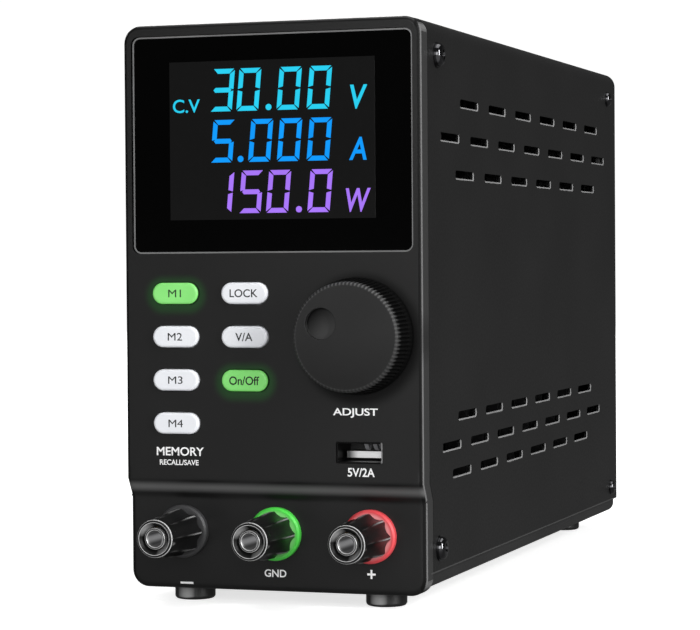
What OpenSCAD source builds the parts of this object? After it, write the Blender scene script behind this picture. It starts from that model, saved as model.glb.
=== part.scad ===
// Tower bench power supply in a folded steel case.
// X runs across the front, Y from front to back and Z up; the bench is at z = 0.
// Inside each module y = 0 is the front face of the panel's upper section.

/* [Case] */
// Width across the cover's sides
body_w = 86.5; // [84:0.5:100]
// Height of the front panel
body_h = 156.5; // [154:0.5:180]
// Depth of the case behind the panel's upper section
cover_d = 230; // [215:1:260]
// Thickness of the sheet steel
sheet_t = 1; // [0.8:0.1:1.2]
// Outside radius of the cover's long folds
fold_r = 4.5; // [3:0.5:6]
// Outside radius of the tray's long folds
tray_fold_r = 3; // [2:0.5:4]
// Height of the tray's side flanges
flange_h = 18; // [16:0.5:18]
// Height of the tray's edge that shows under the cover
tray_show = 4.7; // [3:0.1:6]
// How far the tray's underside lies above the panel's
tray_lift = 0.9; // [0.5:0.1:1.5]
// Free gap between sheets and pieces that are laid together
lay_gap = 0.2; // [0.1:0.05:0.3]

/* [Vents] */
// Length of a vent slot
vent_l = 18.8; // [12:0.2:22]
// Height of a vent slot
vent_h = 2.6; // [2:0.1:4]
// Spacing of the slots in the upper group
vent_top_pitch = 30.2; // [24:0.1:40]
// Spacing of the slots in the lower group
vent_low_pitch = 28.8; // [24:0.1:40]
// Drop of the upper group's first row below the top
vent_top_drop = 21.6; // [16:0.1:30]
// Spacing of the upper group's rows
vent_top_rows = 10.1; // [7:0.1:14]
// Height of the lower group's last row above the panel's underside
vent_low_rise = 31.2; // [28:0.1:40]
// Spacing of the lower group's rows
vent_low_rows = 7.9; // [6:0.1:12]
// Distance kept free of slots in front of the rear wall
vent_rear_land = 27; // [24:1:40]

/* [Front panel] */
// Depth of the panel's side walls
panel_d = 6.2; // [5.5:0.1:8]
// Thickness of the panel's face
panel_face = 3; // [2.6:0.1:3.4]
// Thickness of the panel's side walls
panel_wall = 2.2; // [1.6:0.1:2.4]
// Radius of the panel's corners seen from the front
panel_corner_r = 4.8; // [4:0.1:6]
// Radius round the panel's front edge
panel_edge_r = 1.2; // [0.6:0.1:1.5]
// How far the lower section is set back
step_back = 3; // [1.5:0.1:3.4]
// Height of the lower section's flat face above the bench
step_z = 29.5; // [29:0.1:31]
// Height of the slope between the two sections
step_rise = 5; // [4:0.1:5.2]
// Gap between the panel's rim and the cover
seam_gap = 0.3; // [0.2:0.05:0.5]

/* [Display] */
// Width of the window plate
window_w = 81.4; // [76:0.1:82]
// Height of the window plate
window_h = 59.8; // [56:0.1:60]
// Drop of the window's centre below the top
window_drop = 33.2; // [32.5:0.1:34]
// Thickness of the window plate
window_t = 1.4; // [1:0.1:1.6]
// Corner radius of the window plate
window_r = 2; // [1:0.1:4]
// Width of the display glass
glass_w = 59.8; // [50:0.1:62]
// Height of the display glass
glass_h = 43.6; // [36:0.1:45]
// Rise of the glass above the window's centre
glass_rise = 0.9; // [0:0.1:1.5]
// Border of the display module round its glass
module_rim = 3.6; // [3:0.1:4]
// Depth of the display module behind the face
module_d = 5; // [4:0.1:5.5]

/* [Keys] */
// Length of a key
key_w = 13.5; // [11:0.1:14]
// Height of a key
key_h = 5.9; // [5:0.1:6.5]
// How far a key stands out of the face
key_proud = 1.1; // [0.9:0.1:1.6]
// Travel of a key
key_travel = 0.5; // [0.3:0.05:0.6]
// Free gap round a key
key_gap = 0.25; // [0.2:0.05:0.3]
// Distance of the memory keys left of the centre
key_left_x = 27.9; // [26:0.1:28]
// Distance of the control keys left of the centre
key_mid_x = 7.5; // [6:0.1:9]
// Part of the free height round the keys that lies above the top row
key_top_share = 0.21; // [0.16:0.01:0.22]
// Part of the free height round the keys that lies between two rows
key_row_share = 0.155; // [0.13:0.005:0.17]

/* [Knob] */
// Part of the free height round the knob and the socket that lies between the two
knob_share = 0.506; // [0.45:0.001:0.55]
// Distance of the knob's axis right of the centre
knob_x = 25; // [24.5:0.1:25.5]
// Diameter of the knob at its base
knob_base_d = 31.8; // [28:0.1:33]
// Diameter of the knob at its front
knob_front_d = 29.4; // [26:0.1:31.4]
// Depth of the knob
knob_depth = 10.2; // [9:0.1:12]
// Gap between the knob and the face
knob_gap = 0.8; // [0.7:0.05:1.2]
// Number of ribs round the knob
knob_ribs = 84; // [60:1:96]
// Depth of the grooves between the ribs
rib_depth = 0.35; // [0.2:0.05:0.5]
// Diameter of the finger dimple
dimple_d = 8.6; // [6:0.1:9]
// Distance of the dimple from the knob's axis
dimple_off = 7.7; // [6:0.1:8]
// Depth of the dimple
dimple_depth = 1.1; // [0.6:0.1:1.4]
// Diameter of the encoder's shaft
shaft_d = 6; // [5.5:0.1:6.4]
// Push travel of the knob
push_travel = 0.5; // [0.3:0.05:0.6]

/* [USB socket] */
// Distance of the socket right of the centre
usb_x = 25.2; // [24:0.1:26]
// Part of the free height round the knob and the socket that lies under the socket
usb_share = 0.2185; // [0.2:0.0005:0.25]
// Width over the socket's shell
usb_w = 13.1; // [12.8:0.1:13.4]
// Height over the socket's shell
usb_h = 5.7; // [5.6:0.1:6]
// Length of the socket's shell
usb_l = 14; // [12:0.5:15]

/* [Binding posts] */
// Spacing of the binding posts
post_pitch = 27.4; // [25:0.1:27.5]
// Height of the binding posts above the bench
post_z = 20; // [19.5:0.1:20.5]
// Reach of a post in front of the lower face
post_reach = 21.3; // [20:0.1:24]
// Diameter of the coloured collar
collar_d = 14.7; // [13:0.1:16]
// Thickness of the coloured collar
collar_t = 2; // [1.5:0.1:2.2]
// Diameter of the cap at its tip
cap_tip_d = 10.3; // [10:0.1:11]
// Diameter of the cap at its base
cap_base_d = 12.8; // [12.2:0.1:13.5]
// Diameter of the metal stud
stud_d = 5.9; // [5.7:0.1:6]
// Diameter of the 4 mm socket in the stud
jack_d = 4; // [3.9:0.05:4.1]
// Depth of the socket
jack_l = 15.5; // [13:0.5:15.5]
// Distance that the cap unscrews
cap_lift = 4; // [2:0.5:4]

/* [Rear] */
// Size of the fan's square frame
fan_w = 60; // [50:1:64]
// Depth of the fan
fan_d = 15; // [12:1:20]
// Drop of the fan's centre below the top
fan_drop = 48; // [44:1:50]
// Height of the mains inlet's centre above the bench
inlet_z = 42; // [38:0.5:44]
// Distance of the mains inlet left of the centre
inlet_x = 14.5; // [14:0.5:15]
// Distance of the power switch right of the centre
rocker_x = 27; // [26:0.5:30]
// Length of the rocker
rocker_l = 18; // [16:0.5:19]
// Swing of the rocker
rocker_swing = 24; // [16:1:26]
// Travel of the voltage selector
selector_travel = 6; // [4:0.5:6.5]

/* [Screws and feet] */
// Diameter of the front cover screws' heads
head_d = 7; // [5:0.1:8]
// Height of the front cover screws' heads
head_h = 2.1; // [1.5:0.1:2.4]
// Diameter of the rear cover screws' heads
rear_head_d = 5.2; // [4.6:0.1:5.6]
// Distance of the front screws behind the upper face
screw_front = 15; // [14:0.5:16]
// Distance of the top rear screws in front of the rear wall
screw_rear = 13; // [10:0.1:14]
// Distance of the bottom rear screws in front of the rear wall
low_screw_rear = 9.5; // [9:0.1:14]
// Drop of the top screws below the top
screw_drop = 9.6; // [9:0.1:12]
// Height of the bottom front screws above the panel's underside
screw_rise = 12; // [11:0.1:13]
// Height of the bottom rear screws above the panel's underside
low_rear_rise = 10.2; // [9.8:0.1:13]
// Diameter of the rubber feet
foot_d = 11.4; // [10:0.1:13]
// Distance of the feet from the centre line
foot_x = 28.4; // [24:0.1:30]
// Distance of the front feet behind the upper face
foot_front = 13.6; // [13.5:0.1:18]
// Distance of the rear feet in front of the rear wall
foot_rear = 20; // [14:0.5:30]
// Height of the panel's underside above the bench
foot_h = 4; // [3.5:0.1:6]

/* [Hidden] */
$fn = 48;

// How far a cutter runs past what it cuts
past = 1;
// How far the upright edges' cutters stand outside the faces, and how far they reach below the fold
edge_slack = 0.01;
fold_lap = 0.4;
// Radial clearance of a shaft or pin that turns in its hole
run_gap = 0.05;
// Clearance between a moving piece and what it rests against
rest_gap = 0.15;

half_w = body_w / 2;
top_z = foot_h + body_h;
slope_z = step_z + step_rise;
rear_y = panel_d + cover_d;
inner_rear_y = rear_y - sheet_t;
tray_x = half_w - sheet_t - lay_gap;
tray_z = foot_h + tray_lift;
floor_z = tray_z + sheet_t;
cover_edge_z = tray_z + tray_show;
tray_y = step_back + panel_d + seam_gap;
flange_top_z = tray_z + flange_h;
wall_flange_z = flange_top_z + 2;
wall_top_z = top_z - sheet_t - lay_gap;

// Control board behind the panel, and the steel frame behind that
pcb_t = 1.6;
board_y = panel_face + 7;
board_back_y = board_y + pcb_t;
board_half_w = 33;
chip_w = 12;
chip_t = 1.6;
frame_y = board_back_y + 10.4;
frame_back_y = frame_y + sheet_t;

// M3 pan-head screws used all through the case
m3_r = 1.5;
m3_head_r = 2.75;
m3_head_h = 2;
m3_l = 6.5;
m3_hole_r = m3_r + 0.1;
m3_pilot_r = m3_r + run_gap;
boss_r = 3;

// Rows of vent slots on a side: where each row's first slot lies along y
vent_top_starts = [47.2, 27.4, 42.2];
vent_low_starts = [37.8, 27.7, 43.7];

// Display
window_z = top_z - window_drop;
window_seat_y = window_t + 0.3;
glass_z = window_z + glass_rise;
module_w = glass_w + 2 * module_rim;
module_h = glass_h + 2 * module_rim;
module_y = panel_face + lay_gap / 2;
module_rest = 6;

// Field of the controls between the slope and the window. The keys, and the knob with the
// socket, share out what height they leave free in it.
field_top_z = window_z - window_h / 2;
field_h = field_top_z - slope_z;
key_rows = 4;
key_free = field_h - key_rows * key_h;
key_top_z = field_top_z - key_top_share * key_free - key_h / 2;
key_pitch = key_h + key_row_share * key_free;
knob_free = field_h - knob_base_d - usb_h;
usb_z = slope_z + usb_share * knob_free + usb_h / 2;
knob_z = usb_z + usb_h / 2 + knob_share * knob_free + knob_base_d / 2;

// Places of the screwed bosses, as [x, z]
frame_boss_x = half_w - panel_wall - boss_r - 0.6;
frame_boss_drop = 19;
frame_boss_low_z = step_z - boss_r + 0.4;
frame_bosses = [[frame_boss_x, top_z - frame_boss_drop], [-frame_boss_x, top_z - frame_boss_drop],
    [frame_boss_x, frame_boss_low_z], [-frame_boss_x, frame_boss_low_z]];
board_boss_x = 29;
board_boss_z = glass_z - module_h / 2 - boss_r - 2.8;
board_foot_z = slope_z + 2 * boss_r;
board_foot_xs = [6, -17];
board_bosses = [[board_boss_x, board_boss_z], [-board_boss_x, board_boss_z],
    [board_foot_xs[0], board_foot_z], [board_foot_xs[1], board_foot_z]];

// Keys, as [x, row]
key_places = [[-key_left_x, 0], [-key_left_x, 1], [-key_left_x, 2], [-key_left_x, 3],
    [-key_mid_x, 0], [-key_mid_x, 1], [-key_mid_x, 2]];
key_edge_r = 0.7;
key_flange_t = 1;
key_flange_rim = 0.9;
key_stem_r = 1.5;
switch_w = 6;
switch_d = 3.5;
switch_well = 1.7;
key_stem_y = board_y - switch_d + switch_well - key_travel - rest_gap;

// Knob and encoder
bush_r = shaft_d / 2 + 0.6;
bush_proud = 1.5;
knob_wall = 2.2;
knob_boss_r = shaft_d / 2 + 2;
knob_web = 2.6;
encoder_w = 12;
encoder_y = panel_face + 0.5;
shaft_back_y = board_y - 3;
plunger_r = 1.5;
plunger_l = 2;

// USB socket
usb_y = 0.3;
usb_t = 0.35;
tongue_depth = 6;
tongue_foot = 3;
tongue_t = 1.8;

// Binding posts
post_xs = [-post_pitch, 0, post_pitch];
lower_y = step_back;
post_tip_y = lower_y - post_reach;
cap_back_y = lower_y - collar_t - 0.3;
shoulder_t = 1.2;
shoulder_r = stud_d / 2 + 1.2;
shoulder_y = lower_y - collar_t - shoulder_t;
insert_r = shoulder_r + rest_gap;
insert_y = shoulder_y - 2.8;
stud_tip_y = post_tip_y + 0.5;
// The insert is as long as leaves it whole on the stud when the cap is right out
insert_l = insert_y - stud_tip_y - cap_lift - 0.8;
neck_r = stud_d / 2 + 1.8;
neck_back_y = lower_y + panel_face + 0.4;
washer_t = 0.8;
lug_t = 0.8;
nut_t = 3.2;
lug_y = neck_back_y + washer_t;
nut_y = lug_y + lug_t;
stud_back_y = nut_y + nut_t + 2;
lug_tab_top = 11;
lug_rim = 2;
lug_w = 4;
flute_count = 8;
wire_hole_r = 0.8;

// Output leads and the ribbon, which pass through the frame
lead_r = 1.5;
lead_rise = 8;
lead_hole_r = 4;
plug_w = 22;
plug_h = 6;
plug_d = 5;
ribbon_x = 14;
ribbon_w = 14;
ribbon_t = 1;
ribbon_bend = 4;
ribbon_z = slope_z + field_h / 2;

// Main board on its standoffs
standoff_h = 8;
main_z = floor_z + standoff_h;
main_top_z = main_z + pcb_t;
main_front_y = frame_back_y + 8;
main_rear_land = 32;
main_rear_y = rear_y - main_rear_land;
main_land = 5;
main_half_w = tray_x - sheet_t - main_land;
main_corners = [for (x = [-1, 1], y = [main_front_y + main_land, main_rear_y - main_land])
    [x * (main_half_w - main_land), y]];

// Rear panel
fan_z = top_z - fan_drop;
fan_r = fan_w / 2 - 1.5;
fan_hole = fan_w / 2 - 5;
fan_holes = [for (x = [-1, 1], z = [-1, 1]) [x * fan_hole, fan_z + z * fan_hole]];
fan_front_y = inner_rear_y - fan_d;
fan_hub_r = 12.5;
fan_strut = 3;
fan_pin_y = inner_rear_y - 4;
fan_tip_gap = 0.8;
fan_blades = 7;
blade_t = 1.4;
blade_tilt = 38;
wire_r = 0.8;
guard_y = rear_y + wire_r + 0.02;
inlet_flange_t = 3;
inlet_flange_w = 50;
inlet_flange_h = 34;
inlet_w = 28;
inlet_h = 31;
inlet_l = 20;
inlet_ear = 20;
socket_rise = 5.5;
socket_w = 24.2;
socket_h = 16.3;
socket_l = 16;
socket_bevel = 5;
drawer_drop = 9.3;
drawer_w = 23.8;
drawer_h = 8.4;
drawer_gap = 0.2;
drawer_wall = 1.2;
fuse_r = 2.6;
fuse_l = 20;
fuse_cap = 5;
fuse_pocket = 2 * fuse_r + 0.4;
drawer_front = 2.5;
drawer_l = drawer_front + 2 * fuse_pocket + 2 * drawer_wall;
drawer_lip = 0.8;
drawer_grip = 1.2;
rocker_w = 9.8;
rocker_gap = 0.3;
rocker_r = rocker_l / 2 - 0.8;
rocker_y = rear_y - 2;
rocker_pin_r = 1.2;
switch_flange_w = 15;
switch_flange_t = 1.8;
switch_l = 14;
switch_flange_h = rocker_l + 3;
selector_x = rocker_x;
selector_z = (inlet_z + switch_flange_h / 2 + fan_z - fan_w / 2) / 2;
selector_w = 16;
selector_h = 9;
selector_l = 7;
selector_rim = 1.5;
selector_slide_w = 6.4;
selector_slide_h = 5;
selector_flange_t = 1.4;
rear_reach = max(inlet_flange_t + m3_head_h, inlet_flange_t + drawer_lip + drawer_grip,
    2 * wire_r + m3_head_h + 0.05);
front_reach = max(post_reach - step_back, knob_gap + knob_depth);
front_y = (front_reach - rear_reach - rear_y) / 2;

// Straight and turned shapes along the axes

// Moves a shape from the panel's own frame into the part's frame
module placed() {
    translate([0, front_y, 0]) children();
}

// Extrudes an outline drawn in x and z from y0 back to y1
module along_y(y0, y1) {
    translate([0, y1, 0]) rotate([90, 0, 0]) linear_extrude(y1 - y0) children();
}

// Extrudes an outline drawn in y and z from x0 to x1
module along_x(x0, x1) {
    translate([x0, 0, 0]) rotate([90, 0, 90]) linear_extrude(x1 - x0) children();
}

// Round bar along y
module rod_y(r, y0, y1) {
    translate([0, y0, 0]) rotate([-90, 0, 0]) cylinder(r = r, h = y1 - y0);
}

// Round bar along x
module rod_x(r, x0, x1) {
    translate([x0, 0, 0]) rotate([0, 90, 0]) cylinder(r = r, h = x1 - x0);
}

// Turns an outline of [radius, y] about the y axis
module turned_y(steps = 48) {
    rotate([-90, 0, 0]) rotate_extrude($fn = steps) children();
}

// Rectangle with round corners, centred
module round_rect(w, h, r) {
    square([w - 2 * r, h], center = true);
    square([w, h - 2 * r], center = true);
    for (x = [r - w / 2, w / 2 - r], y = [r - h / 2, h / 2 - r]) {
        translate([x, y]) circle(r);
    }
}

// Slot outline with half-round ends, centred
module oval(w, h) {
    square([w - h, h], center = true);
    for (x = [h / 2 - w / 2, w / 2 - h / 2]) translate([x, 0]) circle(h / 2);
}

// Half outline of a flat-topped button: half width, height and edge radius
module soft_edge(half, len, r) {
    square([half, len - r]);
    square([half - r, len]);
    translate([half - r, len - r]) circle(r);
}

// Oval button that grows forward from y0 to y1, with a soft front edge
module oval_button(w, h, y0, y1, r) {
    len = y0 - y1;
    for (x = [h / 2 - w / 2, w / 2 - h / 2]) {
        translate([x, y0, 0]) rotate([90, 0, 0]) rotate_extrude() soft_edge(h / 2, len, r);
    }
    translate([h / 2 - w / 2, y0, 0]) rotate([90, 0, 0]) rotate([90, 0, 90]) linear_extrude(w - h) {
        soft_edge(h / 2, len, r);
        mirror([1, 0]) soft_edge(h / 2, len, r);
    }
}

// M3 pan-head screw: the head's underside is at the origin and the shank runs along -y
module m3_screw() {
    rod_y(m3_r, -m3_l, 0.1);
    turned_y() {
        square([m3_head_r, m3_head_h * 0.6]);
        intersection() {
            translate([0, m3_head_h - 3 * m3_head_r]) circle(3 * m3_head_r, $fn = 96);
            square([m3_head_r, m3_head_h]);
        }
    }
}

// Panel, window and display

// Everything behind the stepped front surface, moved back by off
module behind_front(off) {
    along_x(-body_w, body_w) polygon([[off, top_z + past], [off, slope_z],
        [off + step_back, step_z], [off + step_back, foot_h - past],
        [off + body_w, foot_h - past], [off + body_w, top_z + past]]);
}

// Corner of a square bar outside its rounding, with the edge at the origin
module edge_corner(r) {
    difference() {
        translate([-past, -past]) square(r + past);
        translate([r, r]) circle(r);
    }
}

// Cutters that round the panel's front edges, drawn for its upper right quarter
module top_edge_cutters() {
    reach = half_w - panel_corner_r;
    translate([-reach, 0, top_z]) rotate([0, 90, 0]) linear_extrude(2 * reach) {
        edge_corner(panel_edge_r);
    }
    for (side = [0, 1]) mirror([side, 0, 0]) {
        translate([reach, 0, top_z - panel_corner_r]) corner_cutter();
        translate([-half_w, step_back, step_z]) rotate([atan2(step_back, step_rise), 0, 0])
            linear_extrude(norm([step_back, step_rise])) edge_corner(panel_edge_r);
    }
}

// Cutter that carries the edge rounding round one corner of the panel
module corner_cutter() {
    rotate([-90, -90, 0]) rotate_extrude(angle = 90) difference() {
        translate([panel_corner_r - panel_edge_r, -past]) square(panel_edge_r + past);
        translate([panel_corner_r - panel_edge_r, panel_edge_r]) circle(panel_edge_r);
    }
}

// Cutters that round the panel's upright edges above the slope
module upright_edge_cutters() {
    for (side = [0, 1]) mirror([side, 0, 0]) {
        translate([-half_w - edge_slack, -edge_slack, slope_z - fold_lap])
            linear_extrude(top_z - panel_corner_r - slope_z + fold_lap) edge_corner(panel_edge_r);
    }
}

module low_edge_cutters() {
    reach = half_w - panel_corner_r;
    translate([-reach, step_back, foot_h]) mirror([0, 0, 1]) rotate([0, 90, 0])
        linear_extrude(2 * reach) edge_corner(panel_edge_r);
    for (side = [0, 1]) mirror([side, 0, 0]) {
        translate([reach, step_back, foot_h + panel_corner_r]) mirror([0, 0, 1]) corner_cutter();
        translate([-half_w, step_back, foot_h + panel_corner_r])
            linear_extrude(step_z - foot_h - panel_corner_r) edge_corner(panel_edge_r);
    }
}

module front_panel() color("#2d2d2f") placed() difference() {
    union() {
        difference() {
            intersection() {
                translate([0, 0, foot_h + body_h / 2]) along_y(0, panel_d + step_back)
                    round_rect(body_w, body_h, panel_corner_r);
                behind_front(0);
            }
            intersection() {
                translate([0, 0, foot_h + body_h / 2]) along_y(-past, panel_d + step_back + past)
                    round_rect(body_w - 2 * panel_wall, body_h - 2 * panel_wall,
                        panel_corner_r - panel_wall);
                behind_front(panel_face);
            }
            behind_front(panel_d);
            top_edge_cutters();
            low_edge_cutters();
            upright_edge_cutters();
        }
        for (p = frame_bosses) {
            translate([p.x, 0, p.y]) rod_y(boss_r, (p.y < step_z ? lower_y : 0) + panel_face - 0.2,
                frame_y);
        }
        for (p = board_bosses) {
            translate([p.x, 0, p.y]) rod_y(boss_r, panel_face - 0.2, board_y);
        }
    }
    translate([0, 0, window_z]) along_y(-past, window_seat_y)
        round_rect(window_w + 2 * lay_gap, window_h + 2 * lay_gap, window_r + lay_gap);
    translate([0, 0, glass_z]) along_y(-past, panel_face + past)
        square([glass_w + 2 * lay_gap, glass_h + 2 * lay_gap], center = true);
    for (k = key_places) {
        translate([k.x, 0, key_top_z - k.y * key_pitch]) along_y(-past, panel_face + past)
            oval(key_w + 2 * key_gap, key_h + 2 * key_gap);
    }
    translate([knob_x, 0, knob_z]) rod_y(bush_r + 0.2, -past, panel_face + past);
    translate([usb_x, 0, usb_z]) along_y(-past, panel_face + past)
        round_rect(usb_w + lay_gap, usb_h + lay_gap, 0.5);
    for (x = post_xs) translate([x, 0, post_z]) rod_y(neck_r + 0.1, 0, lower_y + panel_face + past);
    for (p = frame_bosses) translate([p.x, 0, p.y]) rod_y(m3_pilot_r, frame_y - m3_l, frame_y + past);
    for (p = board_bosses) translate([p.x, 0, p.y]) rod_y(m3_pilot_r, board_y - m3_l + pcb_t,
        board_y + past);
}

module display_window() color("#050506") placed() {
    translate([0, 0, window_z]) along_y(0.1, window_seat_y - 0.1)
        round_rect(window_w, window_h, window_r);
}

module lcd_module() color("#17181a") placed() translate([0, 0, glass_z]) {
    along_y(module_y, module_y + module_d) round_rect(module_w, module_h, 1.5);
    along_y(window_seat_y + 0.1, module_y + 0.1) square([glass_w, glass_h], center = true);
}

// Keys and their board

// Key i: its oval cap, the flange that keeps it in, and the stem that works its switch
module key_cap(i) {
    flange_y = panel_face + rest_gap;
    placed() translate([key_places[i].x, 0, key_top_z - key_places[i].y * key_pitch]) {
        oval_button(key_w, key_h, flange_y + 0.1, -key_proud, key_edge_r);
        along_y(flange_y, flange_y + key_flange_t) oval(key_w + 2 * key_flange_rim,
            key_h + 2 * key_flange_rim);
        rod_y(key_stem_r, flange_y + key_flange_t - 0.1, key_stem_y);
    }
}
module key_m1() color("#8fee82") key_cap(0);
module key_m2() color("#e8ebf0") key_cap(1);
module key_m3() color("#e8ebf0") key_cap(2);
module key_m4() color("#e8ebf0") key_cap(3);
module key_lock() color("#e8ebf0") key_cap(4);
module key_va() color("#e8ebf0") key_cap(5);
module key_output() color("#8fee82") key_cap(6);

module tact_switches() color("#1c1c1e") placed() for (k = key_places) {
    translate([k.x, 0, key_top_z - k.y * key_pitch]) difference() {
        along_y(board_y - switch_d, board_y) round_rect(switch_w, switch_w, 0.6);
        rod_y(key_stem_r + rest_gap, board_y - switch_d - past, board_y - switch_d + switch_well);
    }
}

module control_board() color("#1d5a34") placed() difference() {
    union() {
        low_z = slope_z + 1.6;
        high_z = glass_z + module_h / 2 + 1;
        translate([0, 0, (low_z + high_z) / 2]) along_y(board_y, board_back_y)
            round_rect(2 * board_half_w, high_z - low_z, 1.5);
        translate([ribbon_x, 0, ribbon_z]) along_y(board_back_y, board_back_y + plug_d)
            round_rect(plug_w, plug_h, 0.5);
        for (chip = [[chip_w, ribbon_z + chip_w], [1.3 * chip_w, glass_z - chip_w]]) {
            translate([-chip_w, 0, chip.y]) along_y(board_back_y, board_back_y + chip_t)
                round_rect(chip.x, chip_w, 0.5);
        }
        translate([0, 0, glass_z]) along_y(module_y + module_d + 0.1, board_y + 0.1)
            square([module_w - 2 * module_rest, module_h - 2 * module_rest], center = true);
    }
    translate([usb_x, 0, usb_z]) along_y(board_y - past, board_back_y + past)
        square([usb_w + 2 * lay_gap, usb_h + 2 * lay_gap], center = true);
    for (p = board_bosses) translate([p.x, 0, p.y]) rod_y(m3_hole_r, board_y - past,
        board_back_y + past);
}

// Knob and encoder

// Outline of the knob from above the base: a ring of fine ribs
module knob_gear(r) {
    step = 360 / knob_ribs;
    polygon([for (i = [0:knob_ribs - 1], s = [0:3])
        let (a = (i + [0, 0.35, 0.5, 0.85][s]) * step, d = s < 2 ? 0 : rib_depth)
        (r - d) * [cos(a), sin(a)]]);
}

module adjust_knob() color("#28282a") placed() translate([knob_x, 0, knob_z]) {
    base_r = knob_base_d / 2;
    front_r = knob_front_d / 2;
    front = knob_gap + knob_depth;
    skirt = 2.6;
    lip = 0.9;
    lip_r = front_r + (base_r - front_r) * lip / knob_depth;
    skirt_r = base_r - (base_r - front_r) * skirt / knob_depth;
    cavity = knob_depth - knob_web;
    difference() {
        union() {
            rotate([90, 0, 0]) rotate_extrude($fn = 96) difference() {
                polygon([[0, knob_gap], [base_r - 0.4, knob_gap], [base_r, knob_gap + 0.4],
                    [skirt_r, knob_gap + skirt], [skirt_r - rib_depth, knob_gap + skirt],
                    [lip_r - rib_depth, front - lip], [lip_r, front - lip],
                    [front_r, front - 0.5], [front_r - 0.5, front], [0, front]]);
                polygon([[knob_boss_r, 0], [base_r - knob_wall, 0],
                    [front_r - knob_wall, knob_gap + cavity], [knob_boss_r, knob_gap + cavity]]);
            }
            translate([0, -knob_gap - skirt + 0.1, 0]) rotate([90, 0, 0]) difference() {
                linear_extrude(knob_depth - skirt - lip + 0.2, scale = lip_r / skirt_r)
                    knob_gear(skirt_r);
                translate([0, 0, -past]) cylinder(r = lip_r - rib_depth - 0.5, h = knob_depth);
            }
        }
        rotate([90, 0, 0]) cylinder(r = knob_boss_r + past, h = knob_gap + skirt);
        rod_y(shaft_d / 2 + 0.02, -front + 1, past);
        translate([-dimple_off * cos(28), -front - dimple_depth * 0.6, dimple_off * sin(28)])
            rotate([90, 0, 0]) translate([0, 0, -dimple_depth * 1.6]) cylinder(d = dimple_d,
                h = dimple_depth * 2);
    }
}

module encoder_shaft() color("silver") placed() translate([knob_x, 0, knob_z]) {
    rod_y(shaft_d / 2, -knob_gap - knob_depth + 1.1, shaft_back_y);
}

module encoder_plunger() color("white") placed() translate([knob_x, 0, knob_z]) {
    rod_y(plunger_r, shaft_back_y + 0.1, shaft_back_y + plunger_l);
}

module encoder_body() color("#8a8d90") placed() translate([knob_x, 0, knob_z]) difference() {
    union() {
        along_y(encoder_y, board_y) round_rect(encoder_w, encoder_w, 0.6);
        rod_y(bush_r, -bush_proud, encoder_y + 0.1);
    }
    rod_y(shaft_d / 2 + run_gap, -bush_proud - past, shaft_back_y + push_travel + rest_gap);
    rod_y(plunger_r + run_gap, 0, board_y - 0.3);
}

// USB socket

module usb_shell() color("silver") placed() translate([usb_x, 0, usb_z]) difference() {
    along_y(usb_y, usb_y + usb_l) round_rect(usb_w, usb_h, 0.5);
    along_y(usb_y - past, usb_y + usb_l - usb_t) round_rect(usb_w - 2 * usb_t,
        usb_h - 2 * usb_t, 0.3);
}

module usb_tongue() color("#b9bcc0") placed() translate([usb_x, 0, usb_z]) {
    inner_w = usb_w - 2 * usb_t - 0.1;
    inner_h = usb_h - 2 * usb_t - 0.1;
    foot_y = usb_y + usb_l - tongue_foot;
    along_y(foot_y, usb_y + usb_l - usb_t - 0.05) round_rect(inner_w, inner_h, 0.5);
    translate([0, 0, -tongue_t / 2]) along_y(usb_y + tongue_depth, foot_y + 0.1)
        square([inner_w - 1.2, tongue_t], center = true);
}

// Binding posts

// Screw cap on the post at x: concave flutes at its base that fade towards the tip
module post_cap(x) {
    base_r = cap_base_d / 2;
    tip_r = cap_tip_d / 2;
    len = cap_back_y - post_tip_y;
    fade = len * 0.62;
    flute_r = 3.2;
    flute_depth = 0.9;
    placed() translate([x, cap_back_y, post_z]) difference() {
        rotate([90, 0, 0]) rotate_extrude() polygon([[0, 0], [base_r - 0.4, 0], [base_r, 0.4],
            [base_r - 0.1, len * 0.4], [tip_r, len - 0.5], [tip_r - 0.4, len], [0, len]]);
        for (i = [0:flute_count - 1]) rotate([0, (i + 0.5) * 360 / flute_count, 0]) {
            translate([base_r + flute_r - flute_depth, past, 0])
                rotate([90, 0, -atan2(flute_depth, fade)]) cylinder(r = flute_r, h = len);
        }
        rotate([90, 0, 0]) translate([0, 0, -past]) cylinder(r = insert_r + run_gap,
            h = cap_back_y - insert_y + insert_l + past + 0.1);
        rotate([90, 0, 0]) cylinder(r = stud_d / 2 + 0.25, h = len + past);
        rotate([90, 0, 0]) translate([0, 0, len - 1.6]) cylinder(r1 = stud_d / 2 + 0.3,
            r2 = tip_r - 0.75, h = 1.61);
    }
}
module post_cap_negative() color("#1a1a1b") post_cap(post_xs[0]);
module post_cap_ground() color("#1a1a1b") post_cap(post_xs[1]);
module post_cap_positive() color("#1a1a1b") post_cap(post_xs[2]);

// Threaded brass ring moulded in the cap, drawn at the thread's clearance
module post_insert(x) {
    placed() translate([x, 0, post_z]) difference() {
        rod_y(insert_r, insert_y - insert_l, insert_y);
        rod_y(stud_d / 2 + run_gap, insert_y - insert_l - past, insert_y + past);
    }
}
module post_insert_negative() color("#c9a54b") post_insert(post_xs[0]);
module post_insert_ground() color("#c9a54b") post_insert(post_xs[1]);
module post_insert_positive() color("#c9a54b") post_insert(post_xs[2]);

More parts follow.
